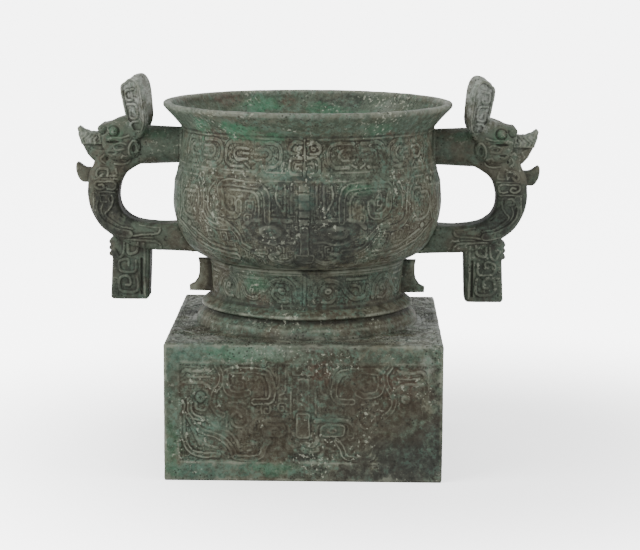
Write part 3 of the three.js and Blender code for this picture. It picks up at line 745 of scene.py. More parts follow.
def make_beak():
    """Rings from the jaw out to the upturned tip, joined into one skin."""
    bm = bmesh.new()
    loops = []
    for keel, ridge, half in BEAK:
        low, high = Vector((keel[0], 0, keel[1])), Vector((ridge[0], 0, ridge[1]))
        middle, reach = (low + high) / 2, (high - low) / 2
        ring = []
        for k in range(BEAK_CORNERS):
            turn = 2 * math.pi * k / BEAK_CORNERS
            side = math.copysign(abs(math.sin(turn)) ** 0.7, math.sin(turn))
            up = math.copysign(abs(math.cos(turn)) ** 0.8, math.cos(turn))
            ring.append(bm.verts.new(middle + reach * up + Vector((0, half * side, 0))))
        loops.append([bm.edges.new((ring[k - 1], ring[k])) for k in range(BEAK_CORNERS)])
    for first, second in zip(loops[:-1], loops[1:]):
        bmesh.ops.bridge_loops(bm, edges=first + second)
    bmesh.ops.holes_fill(bm, edges=[e for e in bm.edges if e.is_boundary], sides=0)
    bmesh.ops.recalc_face_normals(bm, faces=bm.faces)
    return as_object("beak", bm)


def boss(name, x, z, radius, reach):
    """A domed stud that stands out of both sides of the head."""
    bm = bmesh.new()
    for sign in (1, -1):
        made = bmesh.ops.create_uvsphere(bm, u_segments=32, v_segments=16, radius=radius)
        bmesh.ops.translate(bm, verts=made["verts"], vec=(x, sign * (reach - radius), z))
    stem = bmesh.ops.create_cone(bm, cap_ends=True, segments=32, radius1=radius, radius2=radius,
                                 depth=2 * (reach - radius))
    bmesh.ops.rotate(bm, verts=stem["verts"], cent=(0, 0, 0), matrix=Matrix.Rotation(math.pi / 2, 3, "X"))
    bmesh.ops.translate(bm, verts=stem["verts"], vec=(x, 0, z))
    return as_object(name, bm)


def ear_matrix(side):
    splay = Matrix.Rotation(math.radians(-side * 12), 4, "X")
    turn = Matrix.Rotation(math.radians(-side * 35), 4, "Z")
    return Matrix.Translation((EAR_DISTANCE, side * EAR_ASIDE, EAR_BASE)) @ turn @ splay


def make_ear(side):
    ear = slab("ear", EAR, 5.0, 1.6, smooth=True)
    ear.data.transform(ear_matrix(side))
    return ear


def arm_seam():
    """The bead of metal round the arm where it was cast on to the bowl."""
    bm = bmesh.new()
    bmesh.ops.create_circle(bm, segments=12, radius=1.5)
    bmesh.ops.translate(bm, verts=bm.verts, vec=(13.4, 0, 0))
    bmesh.ops.rotate(bm, verts=bm.verts, cent=(0, 0, 0), matrix=Matrix.Rotation(math.pi / 2, 3, "X"))
    bmesh.ops.spin(bm, geom=bm.verts[:] + bm.edges[:], axis=(0, 0, 1), cent=(0, 0, 0), angle=2 * math.pi,
                   steps=48, use_merge=True)
    bmesh.ops.rotate(bm, verts=bm.verts, cent=(0, 0, 0), matrix=Matrix.Rotation(math.pi / 2, 3, "Y"))
    bmesh.ops.translate(bm, verts=bm.verts, vec=(91.2, 0, 225.6))
    bmesh.ops.recalc_face_normals(bm, faces=bm.faces)
    return as_object("seam", bm)


def gather(name, objects):
    """One mesh of several, still with their overlaps."""
    bm = bmesh.new()
    for obj in objects:
        bm.from_mesh(obj.data)
        bpy.data.objects.remove(obj)
    return as_object(name, bm)


WING = [
    ([(137.4, 192.6), (157.6, 192.6)], 1.2, 0.7),
    ([(153, 190), (155.6, 183), (153.6, 174.6), (147.6, 168), (139.6, 163.8), (130, 162.2)], 6.0, 0.9),
    ([(142, 190), (141.4, 184.4), (144.8, 179.4), (146.4, 176), (142, 171), (135.6, 167.4), (127.4, 166.2)],
     1.5, 0.7),
    ([(148, 186), (150, 180.4), (147.6, 174.6), (141.6, 169.2), (134, 165.6)], 1.2, 0.5),
    ([(106.6, 166.8), (114.8, 167.2), (122.2, 168.6)], 1.4, 0.6),
    ([(106.6, 165.2), (109.4, 162.2), (122, 161.6), (130, 160.6)], 1.6, 0.7),
    ([(106.6, 151.6), (107.8, 155), (111.4, 157), (119, 157.4), (131, 158)], 1.7, 0.7),
    ([(112, 159.4), (122, 159.6)], 1.2, 0.5),
]
COLLAR = [
    ([(138.6, 209.4), (138.8, 204.8), (144, 204.6)], 1.7, 0.6),
    ([(144.8, 204.6), (145.2, 209), (150.6, 209.4), (153, 206), (151, 203.2), (148.6, 205.4)], 1.8, 0.8),
    ([(136.8, 202.2), (153.6, 202.2)], 1.2, 0.6),
    ([(145.6, 200.4), (141.4, 200.6), (139.2, 197.6), (141.2, 194.8), (145.2, 194.8)], 1.8, 0.8),
    ([(147, 200.2), (152.6, 200.4), (154, 197), (151, 194.6), (147.6, 195.4), (148.4, 198), (151, 197.6)],
     1.7, 0.8),
    ([(145.6, 189.8), (149.6, 189.8), (150, 186), (146, 185.4)], 1.5, 0.6),
]
CHEEK = [
    ([(124.6, 231), (121.8, 227), (122.6, 221.6), (126, 218.8), (129, 221.6), (128.4, 227), (125.6, 231)],
     1.7, 0.9),
    ([(131.5, 227.6), (135.5, 228.8), (140, 226.8), (137.5, 223.8), (132.5, 224.2)], 1.5, 0.7),
    ([(140, 213.6), (134.6, 213.2), (129.4, 214.6), (129, 218.4), (132.8, 219.8), (134.6, 217), (132, 216)],
     1.6, 0.8),
    ([(128.6, 234.4), (134, 232.4), (139.6, 232.8), (143.4, 231.6)], 1.5, 0.7),
    ([(141.6, 219.6), (146.6, 220.4), (149.6, 217), (147, 213.6)], 1.4, 0.6),
]
CLAW = [
    ([(123, 155.6), (124.4, 148.8), (130, 147.4), (131, 154)], 2.0, 0.7),
    ([(133.4, 155.4), (134.2, 147.4), (137.6, 144.6), (140.8, 150)], 2.0, 0.7),
    ([(118.8, 155), (118.8, 116)], 1.6, 0.5),
    ([(124, 130.5), (124.2, 121), (127.4, 118.6), (134.4, 118.6), (137.2, 121.4), (137.2, 128.6),
      (133.4, 130.8), (129.6, 129), (129.6, 124.4), (132.8, 123.6)], 2.0, 0.7),
    ([(125, 142), (125.4, 134.4), (132, 133.6), (137, 135), (137.2, 141.4), (131, 143), (130.4, 138.4)],
     1.9, 0.7),
]


def side_relief(x, y, z):
    """What is carved on the handle's two sides, from the head down to the pendant's foot."""
    r = Relief(x, z)
    for points, width, lift in WING + COLLAR + CHEEK + CLAW:
        r.band(points, width, lift, groove=0, steps=4)
    for up, size in ((137.4, 3.4), (127, 3.4), (118, 3.0)):
        r.curl(140.6, up, size, 1, 1.1, 0.5)
    height = r.height
    for x0, z0, half_x, half_z, depth in (
        (125.4, 224.8, 1.7, 3.4, 1.3), (135.6, 226.2, 1.6, 0.9, 0.7), (141.6, 221.8, 3.4, 1.1, 1.0),
        (145.2, 217, 1.0, 1.6, 0.8), (140.6, 229.6, 5.6, 1.2, 1.5), (131.6, 217.6, 0.8, 0.8, 0.6),
        (133, 175.4, 3.4, 2.0, 0.8), (142.6, 187.6, 1.4, 2.4, 0.8),
    ):
        pit = np.hypot((x - x0) / half_x, (z - z0) / half_z)
        height -= depth * (1 - step_up(pit, 0.55, 1.1))
    for x0, z0 in (EYE, NOSTRIL):
        height -= 0.9 * rail(np.hypot(x - x0, z - z0), 3.9, 0.7)
    slot = (1 - step_up(np.abs(x - 120.9), 0.5, 1.2)) * between(z, (116.5, 118), (143, 145))
    feathers = np.clip(value_noise(np.stack([x, y, z], 1), 2.4, 31), -0.5, 1)
    feathers = feathers * (1 - r.cover) * step_up(x, 136, 139)
    return height - 1.3 * slot + 0.2 * feathers


def beak_relief(x, z):
    """The zigzag on the beak's upper flank, which stands out over the jaw, and the rim along its tip."""
    along = (x - 146) + (z - 226) * 0.35
    plate = step_up(z - (227.6 - (x - 148) * 0.05), 0, 0.7) * step_up(x, 146, 147.4)
    zigzag = np.abs(((z - 227) / 3.4) % 2 - 1) * 2.8
    lines = np.cos((along + zigzag) * 2 * math.pi / 3.3)
    rim = step_up(np.hypot(x - 149, z - 240), 16.2, 17.2)
    return plate * (0.9 + 0.6 * step_up(lines, -0.3, 0.5) * (1 - rim)) + 0.7 * rim - 0.5 * (1 - plate)


def ear_relief(across, up):
    """A raised border, and a tall panel with hooked lines inside it."""
    r = Relief(across, up)
    r.u = across
    border = EAR + EAR[:1]
    r.band([(a * 0.86, 1.4 + u * 0.95) for a, u in border], 1.7, 1.3, groove=0)
    r.band([(-6.4, 6), (-6.8, 34)], 1.0, 0.9, groove=0)
    r.band([(-3.0, 33.6), (4.6, 31.6), (5.0, 25.4), (-0.6, 25.8), (-0.8, 29.4)], 1.4, 1.1, groove=0, steps=3)
    r.band([(5, 22), (-2.8, 22), (-2.8, 12.6), (3.4, 11.8), (3.4, 17.4)], 1.4, 1.1, groove=0, steps=3)
    r.band([(-2.8, 9.4), (3.2, 8.4), (1.4, 1.6)], 1.4, 0.9, groove=0, steps=3)
    return r.height - 0.7


def carve_handle(handle):
    """Pushes the corners of the sides, the beak and the ears out or in along their normals."""
    co, normals = corners_of(handle.data), normals_of(handle.data)
    height = wear(co) * 0.8
    x, y, z = co.T
    facing = step_up(np.abs(normals[:, 1]), 0.72, 0.9)
    side = np.flatnonzero((facing > 0) & (z <= HEAD_TOP) & (x < SIDE_END))
    height[side] += facing[side] * side_relief(x[side], y[side], z[side])
    on_beak = (x > 147) & (z > 214) & (z < 241) & (np.abs(y) < 14.6)
    flank = np.flatnonzero(on_beak & (np.abs(normals[:, 1]) > 0.3))
    height[flank] += step_up(np.abs(normals[flank, 1]), 0.3, 0.6) * beak_relief(x[flank], z[flank])
    for sign in (1, -1):
        back = np.array(ear_matrix(sign).inverted())
        local = co @ back[:3, :3].T + back[:3, 3]
        turned = normals @ back[:3, :3].T
        across, outwards, up = local.T
        outwards = outwards * sign
        on_ear = (outwards > 1.5) & (outwards < 4) & (up > -2) & (np.abs(across) < 10.2) & (z > 238)
        chosen = np.flatnonzero(on_ear & (turned[:, 1] * sign > 0.6))
        height[chosen] += ear_relief(across[chosen], up[chosen])
    place_corners(handle.data, co + normals * height[:, None])


def make_handle(name, half_turn=False):
    pieces = [
        slab("body", BODY, 26.0, 4.5, smooth=True),
        tube("arm", (88.6, 225.5), (124, 227.4), 12.9, 14.5),
        arm_seam(),
        slab("skull", SKULL, 2 * HEAD_HALF, 5.0, smooth=True),
        make_beak(),
        boss("eye", *EYE, STUD_RADIUS, 18.2),
        boss("nostril", *NOSTRIL, STUD_RADIUS, 17.2),
        slab("hook", HOOK, 9.5, 1.6, smooth=True),
        slab("pendant", PENDANT, 21.0, 2.2),
        make_ear(1),
        make_ear(-1),
    ]
    for z in (146.5, 151.0, 155.4):
        pieces.append(boss("spur", 143.4, z, 1.9, 8.5))
    handle = gather(name, pieces)
    remesh = handle.modifiers.new("remesh", "REMESH")
    remesh.mode = "VOXEL"
    remesh.voxel_size = VOXEL
    smooth = handle.modifiers.new("smooth", "SMOOTH")
    smooth.factor = 0.5
    smooth.iterations = 3
    apply_modifiers(handle)
    carve_handle(handle)
    thin_out(handle, HANDLE_TRIANGLES)
    if half_turn:
        handle.data.transform(Matrix.Rotation(math.pi, 4, "Z"))
    finish_mesh(handle)
    return handle


# Finishes

def node(tree, kind, inputs=None, **settings):
    """A shader node with its settings, and its inputs as values or as sockets to link."""
    made = tree.nodes.new("ShaderNode" + kind)
    for key, value in settings.items():
        setattr(made, key, value)
    for key, value in (inputs or {}).items():
        socket = made.inputs[key]
        if isinstance(value, bpy.types.NodeSocket):
            tree.links.new(value, socket)
        else:
            socket.default_value = value
    return made


def math_node(tree, operation, a, b):
    return node(tree, "Math", {0: a, 1: b}, operation=operation).outputs[0]


def times(tree, a, b):
    return math_node(tree, "MULTIPLY", a, b)


def vector_node(tree, operation, a, b=(0, 0, 0)):
    return node(tree, "VectorMath", {0: a, 1: b}, operation=operation)


def ramp(tree, value, low, high, to_low=0.0, to_high=1.0):
    given = {"Value": value, "From Min": low, "From Max": high, "To Min": to_low, "To Max": to_high}
    return node(tree, "MapRange", given, interpolation_type="SMOOTHSTEP").outputs["Result"]


def noise(tree, vector, scale, detail=4.0, roughness=0.55):
    given = {"Vector": vector, "Scale": scale, "Detail": detail, "Roughness": roughness}
    return node(tree, "TexNoise", given).outputs["Fac"]


def blend(tree, factor, a, b):
    return node(tree, "Mix", {0: factor, 6: a, 7: b}, data_type="RGBA").outputs[2]


def new_group(name, inputs, outputs):
    tree = bpy.data.node_groups.new(name, "ShaderNodeTree")
    for socket, kind in inputs:
        tree.interface.new_socket(socket, in_out="INPUT", socket_type="NodeSocket" + kind)
    for socket, kind in outputs:
        tree.interface.new_socket(socket, in_out="OUTPUT", socket_type="NodeSocket" + kind)
    return tree, tree.nodes.new("NodeGroupInput").outputs, tree.nodes.new("NodeGroupOutput").inputs


def use_group(tree, group, inputs):
    made = tree.nodes.new("ShaderNodeGroup")
    made.node_tree = group
    for key, value in inputs.items():
        if isinstance(value, bpy.types.NodeSocket):
            tree.links.new(value, made.inputs[key])
        else:
            made.inputs[key].default_value = value
    return made.outputs


def mottle_group():
    """Two tones in clouds of one size, broken up by clouds a quarter of it."""
    inputs = [("Vector", "Vector"), ("Scale", "Float"), ("Tone A", "Color"), ("Tone B", "Color"),
              ("Edge", "Float")]
    tree, given, out = new_group("mottle", inputs, [("Color", "Color"), ("Mask", "Float")])
    large = noise(tree, given["Vector"], given["Scale"], 5.0, 0.6)
    small = noise(tree, given["Vector"], times(tree, given["Scale"], 4.3), 4.0, 0.65)
    both = math_node(tree, "ADD", times(tree, large, 0.62), times(tree, small, 0.38))
    start = math_node(tree, "SUBTRACT", 0.5, given["Edge"])
    end = math_node(tree, "ADD", 0.5, given["Edge"])
    mask = ramp(tree, both, start, end)
    tree.links.new(mask, out["Mask"])
    tree.links.new(blend(tree, mask, given["Tone A"], given["Tone B"]), out["Color"])
    return tree


def spot_group():
    """A ragged spot round a place, 1 inside and 0 outside, and eaten away in flecks."""
    inputs = [("Vector", "Vector"), ("Centre", "Vector"), ("Reach", "Vector"), ("Flecks", "Float")]
    tree, given, out = new_group("spot", inputs, [("Mask", "Float")])
    offset = vector_node(tree, "SUBTRACT", given["Vector"], given["Centre"]).outputs[0]
    scaled = vector_node(tree, "DIVIDE", offset, given["Reach"]).outputs[0]
    distance = vector_node(tree, "LENGTH", scaled).outputs["Value"]
    wide = math_node(tree, "SUBTRACT", noise(tree, given["Vector"], 95.0, 6.0, 0.72), 0.5)
    ragged = math_node(tree, "ADD", distance, times(tree, wide, 3.6))
    flecks = ramp(tree, noise(tree, given["Vector"], 330.0, 3.0, 0.6), 0.4, 0.6)
    whole = math_node(tree, "SUBTRACT", 1.0, times(tree, flecks, given["Flecks"]))
    mask = times(tree, ramp(tree, ragged, 0.5, 1.3, 1.0, 0.0), whole)
    tree.links.new(mask, out["Mask"])
    return tree


def relief_group():
    """Where the surface stands out, and where it is sunk, from the marks on the mesh."""
    tree, _, out = new_group("relief marks", [], [("Raised", "Float"), ("Sunk", "Float"), ("Deep", "Float")])
    fine = node(tree, "Attribute", attribute_name="fine_relief").outputs["Fac"]
    broad = node(tree, "Attribute", attribute_name="broad_relief").outputs["Fac"]
    tree.links.new(ramp(tree, fine, 0.56, 0.86), out["Raised"])
    tree.links.new(ramp(tree, fine, 0.47, 0.2), out["Sunk"])
    tree.links.new(ramp(tree, broad, 0.46, 0.12), out["Deep"])
    return tree


def grain_group():
    """Fine grain, crusts and pits, as a height, and where crust, chalk and pits lie."""
    inputs = [("Vector", "Vector"), ("Crust", "Float")]
    outputs = [("Height", "Float"), ("Speck", "Float"), ("Chalk", "Float"), ("Pit", "Float")]
    tree, given, out = new_group("grain", inputs, outputs)
    fine = noise(tree, given["Vector"], 900.0, 3.0, 0.6)
    crust = noise(tree, given["Vector"], 260.0, 5.0, 0.65)
    at = {"Vector": given["Vector"], "Scale": 380.0}
    cells = node(tree, "TexVoronoi", at, feature="F1").outputs["Distance"]
    where = ramp(tree, noise(tree, given["Vector"], 70.0, 3.0), 0.45, 0.6)
    pits = times(tree, ramp(tree, cells, 0.16, 0.34, 1.0, 0.0), where)
    height = math_node(tree, "ADD", times(tree, fine, 0.35), times(tree, crust, given["Crust"]))
    height = math_node(tree, "SUBTRACT", height, times(tree, pits, 0.4))
    chalk = ramp(tree, noise(tree, given["Vector"], 400.0, 2.0), 0.58, 0.67)
    chalk = times(tree, chalk, ramp(tree, noise(tree, given["Vector"], 38.0, 3.0), 0.5, 0.62))
    tree.links.new(height, out["Height"])
    tree.links.new(ramp(tree, crust, 0.5, 0.62), out["Speck"])
    tree.links.new(chalk, out["Chalk"])
    tree.links.new(pits, out["Pit"])
    return tree


def patches(tree, groups, place, tones, base, spots):
    """The marks of one piece, laid over its base tone one after another."""
    colour = base
    for tone, centre, reach, amount in spots:
        given = {"Vector": place, "Centre": [v * MM for v in centre], "Reach": [v * MM for v in reach],
                 "Flecks": FLECKS.get(tone, 0.65)}
        mask = use_group(tree, groups["spot"], given)["Mask"]
        colour = blend(tree, times(tree, mask, amount), colour, tones[tone])
    return colour


def mottled(tree, groups, place, scale, edge, tone_a, tone_b):
    given = {"Vector": place, "Scale": scale, "Edge": edge, "Tone A": tone_a, "Tone B": tone_b}
    return use_group(tree, groups["mottle"], given)["Color"]


def strokes_on_top(tree, groups, place):
    """Dark strokes on the plinth's top alone, found by its height."""
    up = node(tree, "SeparateXYZ", {0: place}).outputs["Z"]
    on_top = times(tree, ramp(tree, up, 0.0966, 0.0974), ramp(tree, up, 0.0992, 0.101, 1.0, 0.0))
    strokes = use_group(tree, groups["mottle"], {"Vector": place, "Scale": 105.0, "Edge": 0.03})["Mask"]
    return times(tree, times(tree, strokes, on_top), 0.45)


def bronze(name, groups, tones, spots, late_patches, speckle=1.0):
    """Patinated bronze: clouds of brown and green, ragged spots, grime and painted shade in the hollows, high
    lines lightened by wear and by a painted highlight.
    """
    material = bpy.data.materials.new(name)
    material.use_nodes = True
    tree = material.node_tree
    shader = tree.nodes["Principled BSDF"]
    shader.inputs["Specular IOR Level"].default_value = 0.16
    place = node(tree, "TexCoord").outputs["Object"]
    marks = use_group(tree, groups["relief"], {})
    grain = use_group(tree, groups["grain"], {"Vector": place, "Crust": 0.8})
    clouds = mottled(tree, groups, place, 16.0, 0.055, tones["brown"], tones["green"])
    flecks = mottled(tree, groups, place, 95.0, 0.05, tones["dark"], tones["pale"])
    dust = mottled(tree, groups, place, 260.0, 0.09, tones["dark"], tones["dust"])
    colour = blend(tree, 0.38 * speckle, clouds, flecks)
    colour = patches(tree, groups, place, tones, colour, spots)
    colour = blend(tree, 0.25 * speckle, colour, dust)
    bloom = use_group(tree, groups["mottle"], {"Vector": place, "Scale": 34.0, "Edge": 0.05})["Mask"]
    bloom = times(tree, times(tree, bloom, grain["Speck"]), 0.4 * speckle)
    colour = blend(tree, bloom, colour, tones["teal"])
    patchy = ramp(tree, noise(tree, place, 48.0, 4.0, 0.6), 0.36, 0.6, 0.25, 1.0)
    # Painted shade: the hollows, broad and fine, are darkened as grime and as painted shade together.
    colour = blend(tree, times(tree, marks["Deep"], 0.3), colour, tones["dirt_and_shade"])
    sunk = times(tree, times(tree, marks["Sunk"], 0.7), patchy)
    colour = blend(tree, sunk, colour, tones["dirt_and_shade"])
    # Painted highlight: the high lines are lightened as wear and as a painted highlight together.
    rubbed_and_highlit = ramp(tree, noise(tree, place, 60.0, 3.0), 0.38, 0.62, 0.12, 0.4 + 0.34 * speckle)
    colour = blend(tree, times(tree, marks["Raised"], rubbed_and_highlit), colour, tones["worn"])
    colour = patches(tree, groups, place, tones, colour, late_patches)
    colour = blend(tree, strokes_on_top(tree, groups, place), colour, tones["dirt_and_shade"])
    colour = blend(tree, times(tree, grain["Pit"], 0.7), colour, tones["dirt_and_shade"])
    colour = blend(tree, times(tree, grain["Chalk"], 0.6 * speckle), colour, tones["chalk"])
    tree.links.new(colour, shader.inputs["Base Color"])
    rough = ramp(tree, noise(tree, place, 45.0, 4.0, 0.6), 0.35, 0.65, 0.5, 0.78)
    rough = math_node(tree, "SUBTRACT", rough, times(tree, marks["Raised"], 0.1))
    tree.links.new(rough, shader.inputs["Roughness"])
    tree.links.new(times(tree, marks["Raised"], 0.25), shader.inputs["Metallic"])
    bump = node(tree, "Bump", {"Height": grain["Height"], "Strength": 0.7, "Distance": 0.0007})
    tree.links.new(bump.outputs["Normal"], shader.inputs["Normal"])
    return material


TONES = {
    "brown": (0.054, 0.041, 0.023, 1), "green": (0.040, 0.060, 0.040, 1), "dark": (0.013, 0.0135, 0.0095, 1),
    "pale": (0.086, 0.097, 0.070, 1), "malachite": (0.034, 0.125, 0.066, 1), "teal": (0.052, 0.115, 0.084, 1),
    # Next line: a near-black tone that darkens hollows as grime and as painted shade, and a pale grey one
    # that lightens high lines as wear and as a painted highlight.
    "dirt_and_shade": (0.010, 0.0095, 0.0065, 1), "worn": (0.155, 0.163, 0.126, 1), "red": (0.062, 0.028, 0.018, 1),
    "umber": (0.034, 0.024, 0.014, 1), "charcoal": (0.0165, 0.018, 0.0155, 1), "chalk": (0.27, 0.28, 0.22, 1),
    # Next line: two pale tones that give pale patina and also lay a painted sheen on the plinth's top and a
    # painted highlight round the rim.
    "ash": (0.17, 0.182, 0.155, 1), "silver_and_sheen": (0.30, 0.315, 0.285, 1), "dust": (0.135, 0.144, 0.111, 1),
}
HANDLE_TONES = {**TONES, "brown": (0.054, 0.049, 0.034, 1), "green": (0.045, 0.060, 0.043, 1)}

# How far flecks of the metal round it break up a spot of each tone
FLECKS = {"umber": 0.25, "dark": 0.25, "charcoal": 0.25, "green": 0.3, "malachite": 0.35, "silver_and_sheen": 0.5}


def on_bowl(degrees, z, radius=92):
    turn = math.radians(degrees)
    return (radius * math.sin(turn), -radius * math.cos(turn), z)


VESSEL_SPOTS = [
    ("umber", (0, -97, 50), (92, 9, 40), 0.6),
    ("dark", (0, -97, 48), (92, 9, 38), 0.2),
    ("umber", (30, -97, 91), (60, 8, 7), 0.4),
    ("dark", (40, -97, 50), (60, 9, 46), 0.45),
    ("green", (0, 0, 248.5), (400, 400, 8.5), 0.75),
    # A pale ring round the top of the lip: a painted highlight along the rim's edge.
    ("ash", (0, 0, 260.0), (400, 400, 4.0), 0.6),
    ("umber", (-38, -97, 67), (16, 8, 9), 0.6),
    ("umber", (38, -97, 67), (16, 8, 9), 0.6),
    ("charcoal", on_bowl(2, 178, 96), (50, 32, 36), 0.85),
    ("umber", on_bowl(24, 226), (30, 20, 12), 0.5),
    ("umber", on_bowl(-52, 180, 96), (16, 16, 24), 0.4),
    ("umber", on_bowl(40, 186, 96), (26, 20, 26), 0.4),
    ("malachite", on_bowl(-51, 247), (10, 12, 8), 1.0),
    ("malachite", on_bowl(-27, 245), (20, 12, 7), 1.0),
    ("malachite", on_bowl(-16, 241), (14, 12, 4), 0.7),
    ("red", on_bowl(-44, 243), (12, 8, 5), 0.55),
    ("red", on_bowl(-20, 243), (8, 8, 4), 0.6),
    ("red", on_bowl(39, 243), (4, 4, 3), 0.8),
    ("teal", on_bowl(-14, 217, 95), (40, 14, 5), 0.45),
    ("teal", on_bowl(-1, 128, 70), (5, 8, 8), 0.8),
    ("red", on_bowl(-28, 123, 72), (9, 9, 7), 0.6),
    ("malachite", on_bowl(-30, 135, 70), (10, 9, 7), 0.5),
    ("charcoal", on_bowl(12, 131, 70), (34, 12, 15), 0.45),
    ("umber", on_bowl(6, 112, 78), (54, 14, 6), 0.5),
    # Pale patches on the plinth's top: a painted sheen where the top catches the light at a slant.
    ("silver_and_sheen", (88, 30, 98), (16, 74, 5), 1.0),
    ("silver_and_sheen", (88, -34, 98), (14, 40, 5), 0.8),
    ("silver_and_sheen", (-88, 40, 98), (15, 70, 5), 0.95),
    ("silver_and_sheen", (-78, -82, 98), (26, 18, 5), 0.6),
    ("silver_and_sheen", (82, -78, 98), (26, 20, 5), 0.7),
    ("ash", (0, -88, 98), (60, 12, 5), 0.45),
    ("umber", (0, -88, 98), (50, 8, 5), 0.5),
    ("teal", on_bowl(0, 200, 96), (7, 9, 9), 0.8),
    ("malachite", on_bowl(22, 206, 96), (14, 9, 4), 0.5),
    ("malachite", on_bowl(30, 247), (14, 12, 5), 0.4),
    ("malachite", on_bowl(207, 249, 90), (20, 16, 7), 0.85),
    ("red", on_bowl(217, 253, 92), (16, 14, 6), 0.7),
    ("red", on_bowl(190, 252, 90), (10, 10, 5), 0.6),
    ("charcoal", on_bowl(166, 250, 90), (20, 14, 9), 0.7),
    ("ash", on_bowl(140, 249, 92), (12, 14, 7), 0.45),
    ("malachite", on_bowl(215, 200, 96), (18, 18, 14), 0.5),
    ("malachite", on_bowl(168, 238, 92), (26, 20, 10), 0.6),
    ("umber", on_bowl(180, 180, 96), (50, 20, 26), 0.5),
    ("teal", (-70, -97, 91), (32, 8, 10), 0.6),
    ("malachite", (-40, -97, 92), (26, 8, 6), 0.6),
    ("teal", (62, -97, 91), (24, 8, 7), 0.5),
    ("ash", (-30, -97, 93), (26, 8, 5), 0.45),
    ("ash", (86, -97, 84), (5, 8, 8), 0.6),
    ("teal", (-58, -97, 9), (40, 8, 7), 0.65),
    ("malachite", (-20, -97, 9), (18, 8, 5), 0.45),
    ("teal", (-73, -97, 60), (6, 8, 6), 0.9),
    ("teal", (-66, -97, 40), (20, 8, 8), 0.6),
    ("teal", (20, -97, 45), (14, 8, 4), 0.75),
    ("teal", (20, -97, 37), (10, 8, 5), 0.5),
    ("teal", (4, -97, 50), (5, 8, 5), 0.5),
    ("teal", (60, -97, 22), (16, 8, 8), 0.4),
    ("malachite", (-93, -97, 20), (7, 8, 26), 0.4),
    ("teal", (-94, -97, 72), (6, 8, 16), 0.55),
    ("red", (12, -97, 78), (9, 8, 7), 0.6),
    ("red", (66, -97, 70), (16, 8, 13), 0.55),
    ("red", (20.4, -97, 36.6), (4, 8, 2), 0.9),
    ("red", (-70, -97, 72), (18, 8, 8), 0.35),
    ("charcoal", (1, -97, 17.5), (12, 8, 4), 0.8),
    ("charcoal", (76, -97, 12), (40, 8, 20), 0.9),
    ("charcoal", (94, -97, 34), (8, 8, 34), 0.7),
    ("charcoal", (34, -97, 5), (40, 8, 7), 0.6),
    ("umber", (60, -97, 44), (34, 8, 16), 0.5),
    ("teal", (40, 97, 60), (30, 8, 22), 0.5),
    ("umber", (-30, 97, 50), (60, 8, 34), 0.5),
    ("malachite", (97, 30, 70), (8, 24, 16), 0.5),
    ("umber", (97, -20, 40), (8, 50, 30), 0.5),
    ("malachite", (-97, -20, 50), (8, 26, 18), 0.45),
]

# Dark patches laid last, which cover the lightened high lines as well
VESSEL_LATE_PATCHES = [
    ("charcoal", on_bowl(2, 176, 96), (54, 34, 36), 0.55),
    ("umber", (-4, -97, 50), (88, 9, 38), 0.18),
    ("umber", (52, -97, 50), (40, 9, 38), 0.3),
    ("umber", (-60, -97, 62), (34, 9, 24), 0.26),
    ("charcoal", (84, -97, 20), (34, 9, 28), 0.4),
]
HANDLE_LATE_PATCHES = [("charcoal", (sign * 146, 0, 172), (28, 24, 30), 0.2) for sign in (1, -1)]

HANDLE_SPOTS = []
for sign in (1, -1):
    HANDLE_SPOTS += [
        ("charcoal", (sign * 144, 0, 174), (28, 24, 30), 0.95),
        ("charcoal", (sign * 130, 0, 126), (24, 20, 28), 0.6),
        ("umber", (sign * 118, 0, 160), (30, 20, 10), 0.35),
        ("red", (sign * 137, 0, 186), (4, 9, 17), 0.5),
        ("silver_and_sheen", (sign * 121, 0, 268), (24, 40, 26), 0.75),
        ("ash", (sign * 157, 0, 235), (12, 18, 8), 0.8),
        ("malachite", (sign * 139, -16, 236), (7, 6, 6), 0.35),
        ("malachite", (sign * 112, -13, 236), (10, 8, 5), 0.3),
    ]


def dress(obj, material):
    obj.data.materials.clear()
    obj.data.materials.append(material)


bowl = make_bowl()
ring_foot = make_foot()
plinth = make_plinth()
handle_right = make_handle("handle_cast_right")
handle_left = make_handle("handle_cast_left", half_turn=True)
for piece in (bowl, ring_foot, plinth, handle_right, handle_left):
    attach(piece, "root")
for piece in (bowl, ring_foot, plinth):
    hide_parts("vessel_with_plinth")
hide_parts("handle_right")
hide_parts("handle_left")

patina = {"mottle": mottle_group(), "spot": spot_group(), "relief": relief_group(), "grain": grain_group()}
vessel_bronze = bronze("vessel_bronze", patina, TONES, VESSEL_SPOTS, VESSEL_LATE_PATCHES)
handle_bronze = bronze("handle_bronze", patina, HANDLE_TONES, HANDLE_SPOTS, HANDLE_LATE_PATCHES, speckle=0.5)
for piece in (bowl, ring_foot, plinth):
    dress(piece, vessel_bronze)
for piece in (handle_right, handle_left):
    dress(piece, handle_bronze)


# Stage, light and camera

# The paper glows less round this place, a little right of the plinth's middle: a painted shadow beside the
# plinth, seen by the camera alone.
PAINTED_SHADOW_PLACE = (0.08, 0, 0)
CAMERA_PLACE = (0.0334, -1.5161, 0.3888)
CAMERA_LENS = 117.3
CAMERA_TURN = math.radians(0.9)
CAMERA_TILT = math.radians(90 - 9.66)
CAMERA_ROLL = math.radians(0.38)


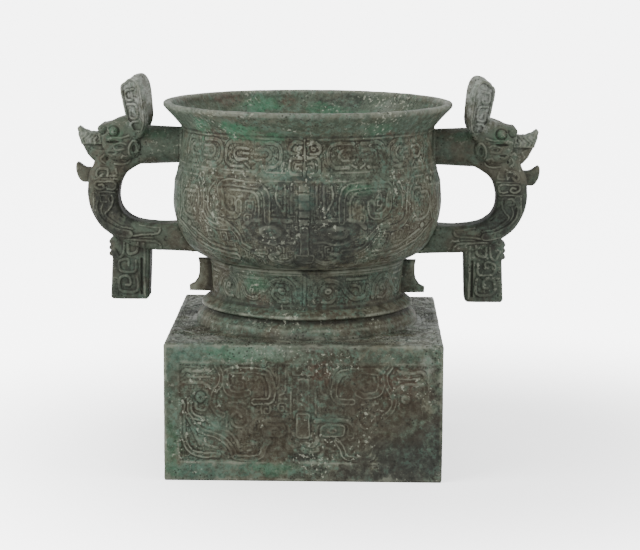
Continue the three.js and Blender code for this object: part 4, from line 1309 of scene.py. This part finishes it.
def make_stage():
    bm = bmesh.new()
    bmesh.ops.create_grid(bm, x_segments=1, y_segments=1, size=30.0)
    floor = as_object("floor", bm)
    material = bpy.data.materials.new("paper")
    material.use_nodes = True
    shader = material.node_tree.nodes["Principled BSDF"]
    shader.inputs["Base Color"].default_value = (0.92, 0.92, 0.92, 1)
    shader.inputs["Roughness"].default_value = 0.95
    shader.inputs["Specular IOR Level"].default_value = 0.1
    shader.inputs["Emission Color"].default_value = (1, 1, 1, 1)
    tree = material.node_tree
    place = node(tree, "TexCoord").outputs["Object"]
    moved = vector_node(tree, "SUBTRACT", place, PAINTED_SHADOW_PLACE).outputs[0]
    away = vector_node(tree, "LENGTH", moved).outputs["Value"]
    seen = node(tree, "LightPath").outputs["Is Camera Ray"]
    # Painted shadow: the paper's own light, seen by the camera alone, is painted dimmer round the plinth.
    camera_glow_and_painted_shadow = times(tree, ramp(tree, away, 0.12, 0.5, 1.4, 5.0), seen)
    tree.links.new(camera_glow_and_painted_shadow, shader.inputs["Emission Strength"])
    floor.data.materials.append(material)


def add_area_light(name, place, target, size, power):
    light = bpy.data.lights.new(name, "AREA")
    light.shape = "RECTANGLE"
    light.size, light.size_y = size
    light.energy = power
    made = bpy.data.objects.new(name, light)
    made.location = place
    made.rotation_euler = (Vector(target) - Vector(place)).to_track_quat("-Z", "Y").to_euler()
    bpy.context.scene.collection.objects.link(made)


def make_camera():
    camera = bpy.data.cameras.new("camera")
    camera.lens = CAMERA_LENS
    camera.sensor_width = 36.0
    made = bpy.data.objects.new("camera", camera)
    made.location = CAMERA_PLACE
    turn = Matrix.Rotation(CAMERA_TURN, 3, "Z")
    tilt = Matrix.Rotation(CAMERA_TILT, 3, "X")
    roll = Matrix.Rotation(CAMERA_ROLL, 3, "Z")
    made.rotation_euler = (turn @ tilt @ roll).to_euler()
    bpy.context.scene.collection.objects.link(made)
    bpy.context.scene.camera = made


def light_room():
    world = bpy.data.worlds.new("studio")
    world.use_nodes = True
    world.node_tree.nodes["Background"].inputs["Color"].default_value = (0.98, 0.99, 1.0, 1)
    world.node_tree.nodes["Background"].inputs["Strength"].default_value = 1.25
    bpy.context.scene.world = world
    add_area_light("left", (-1.15, -0.75, 1.15), (0, 0, 0.15), (1.0, 1.0), 27)
    add_area_light("right", (1.3, -0.4, 1.3), (0, 0, 0.15), (0.9, 0.9), 13)


make_stage()
make_camera()
light_room()
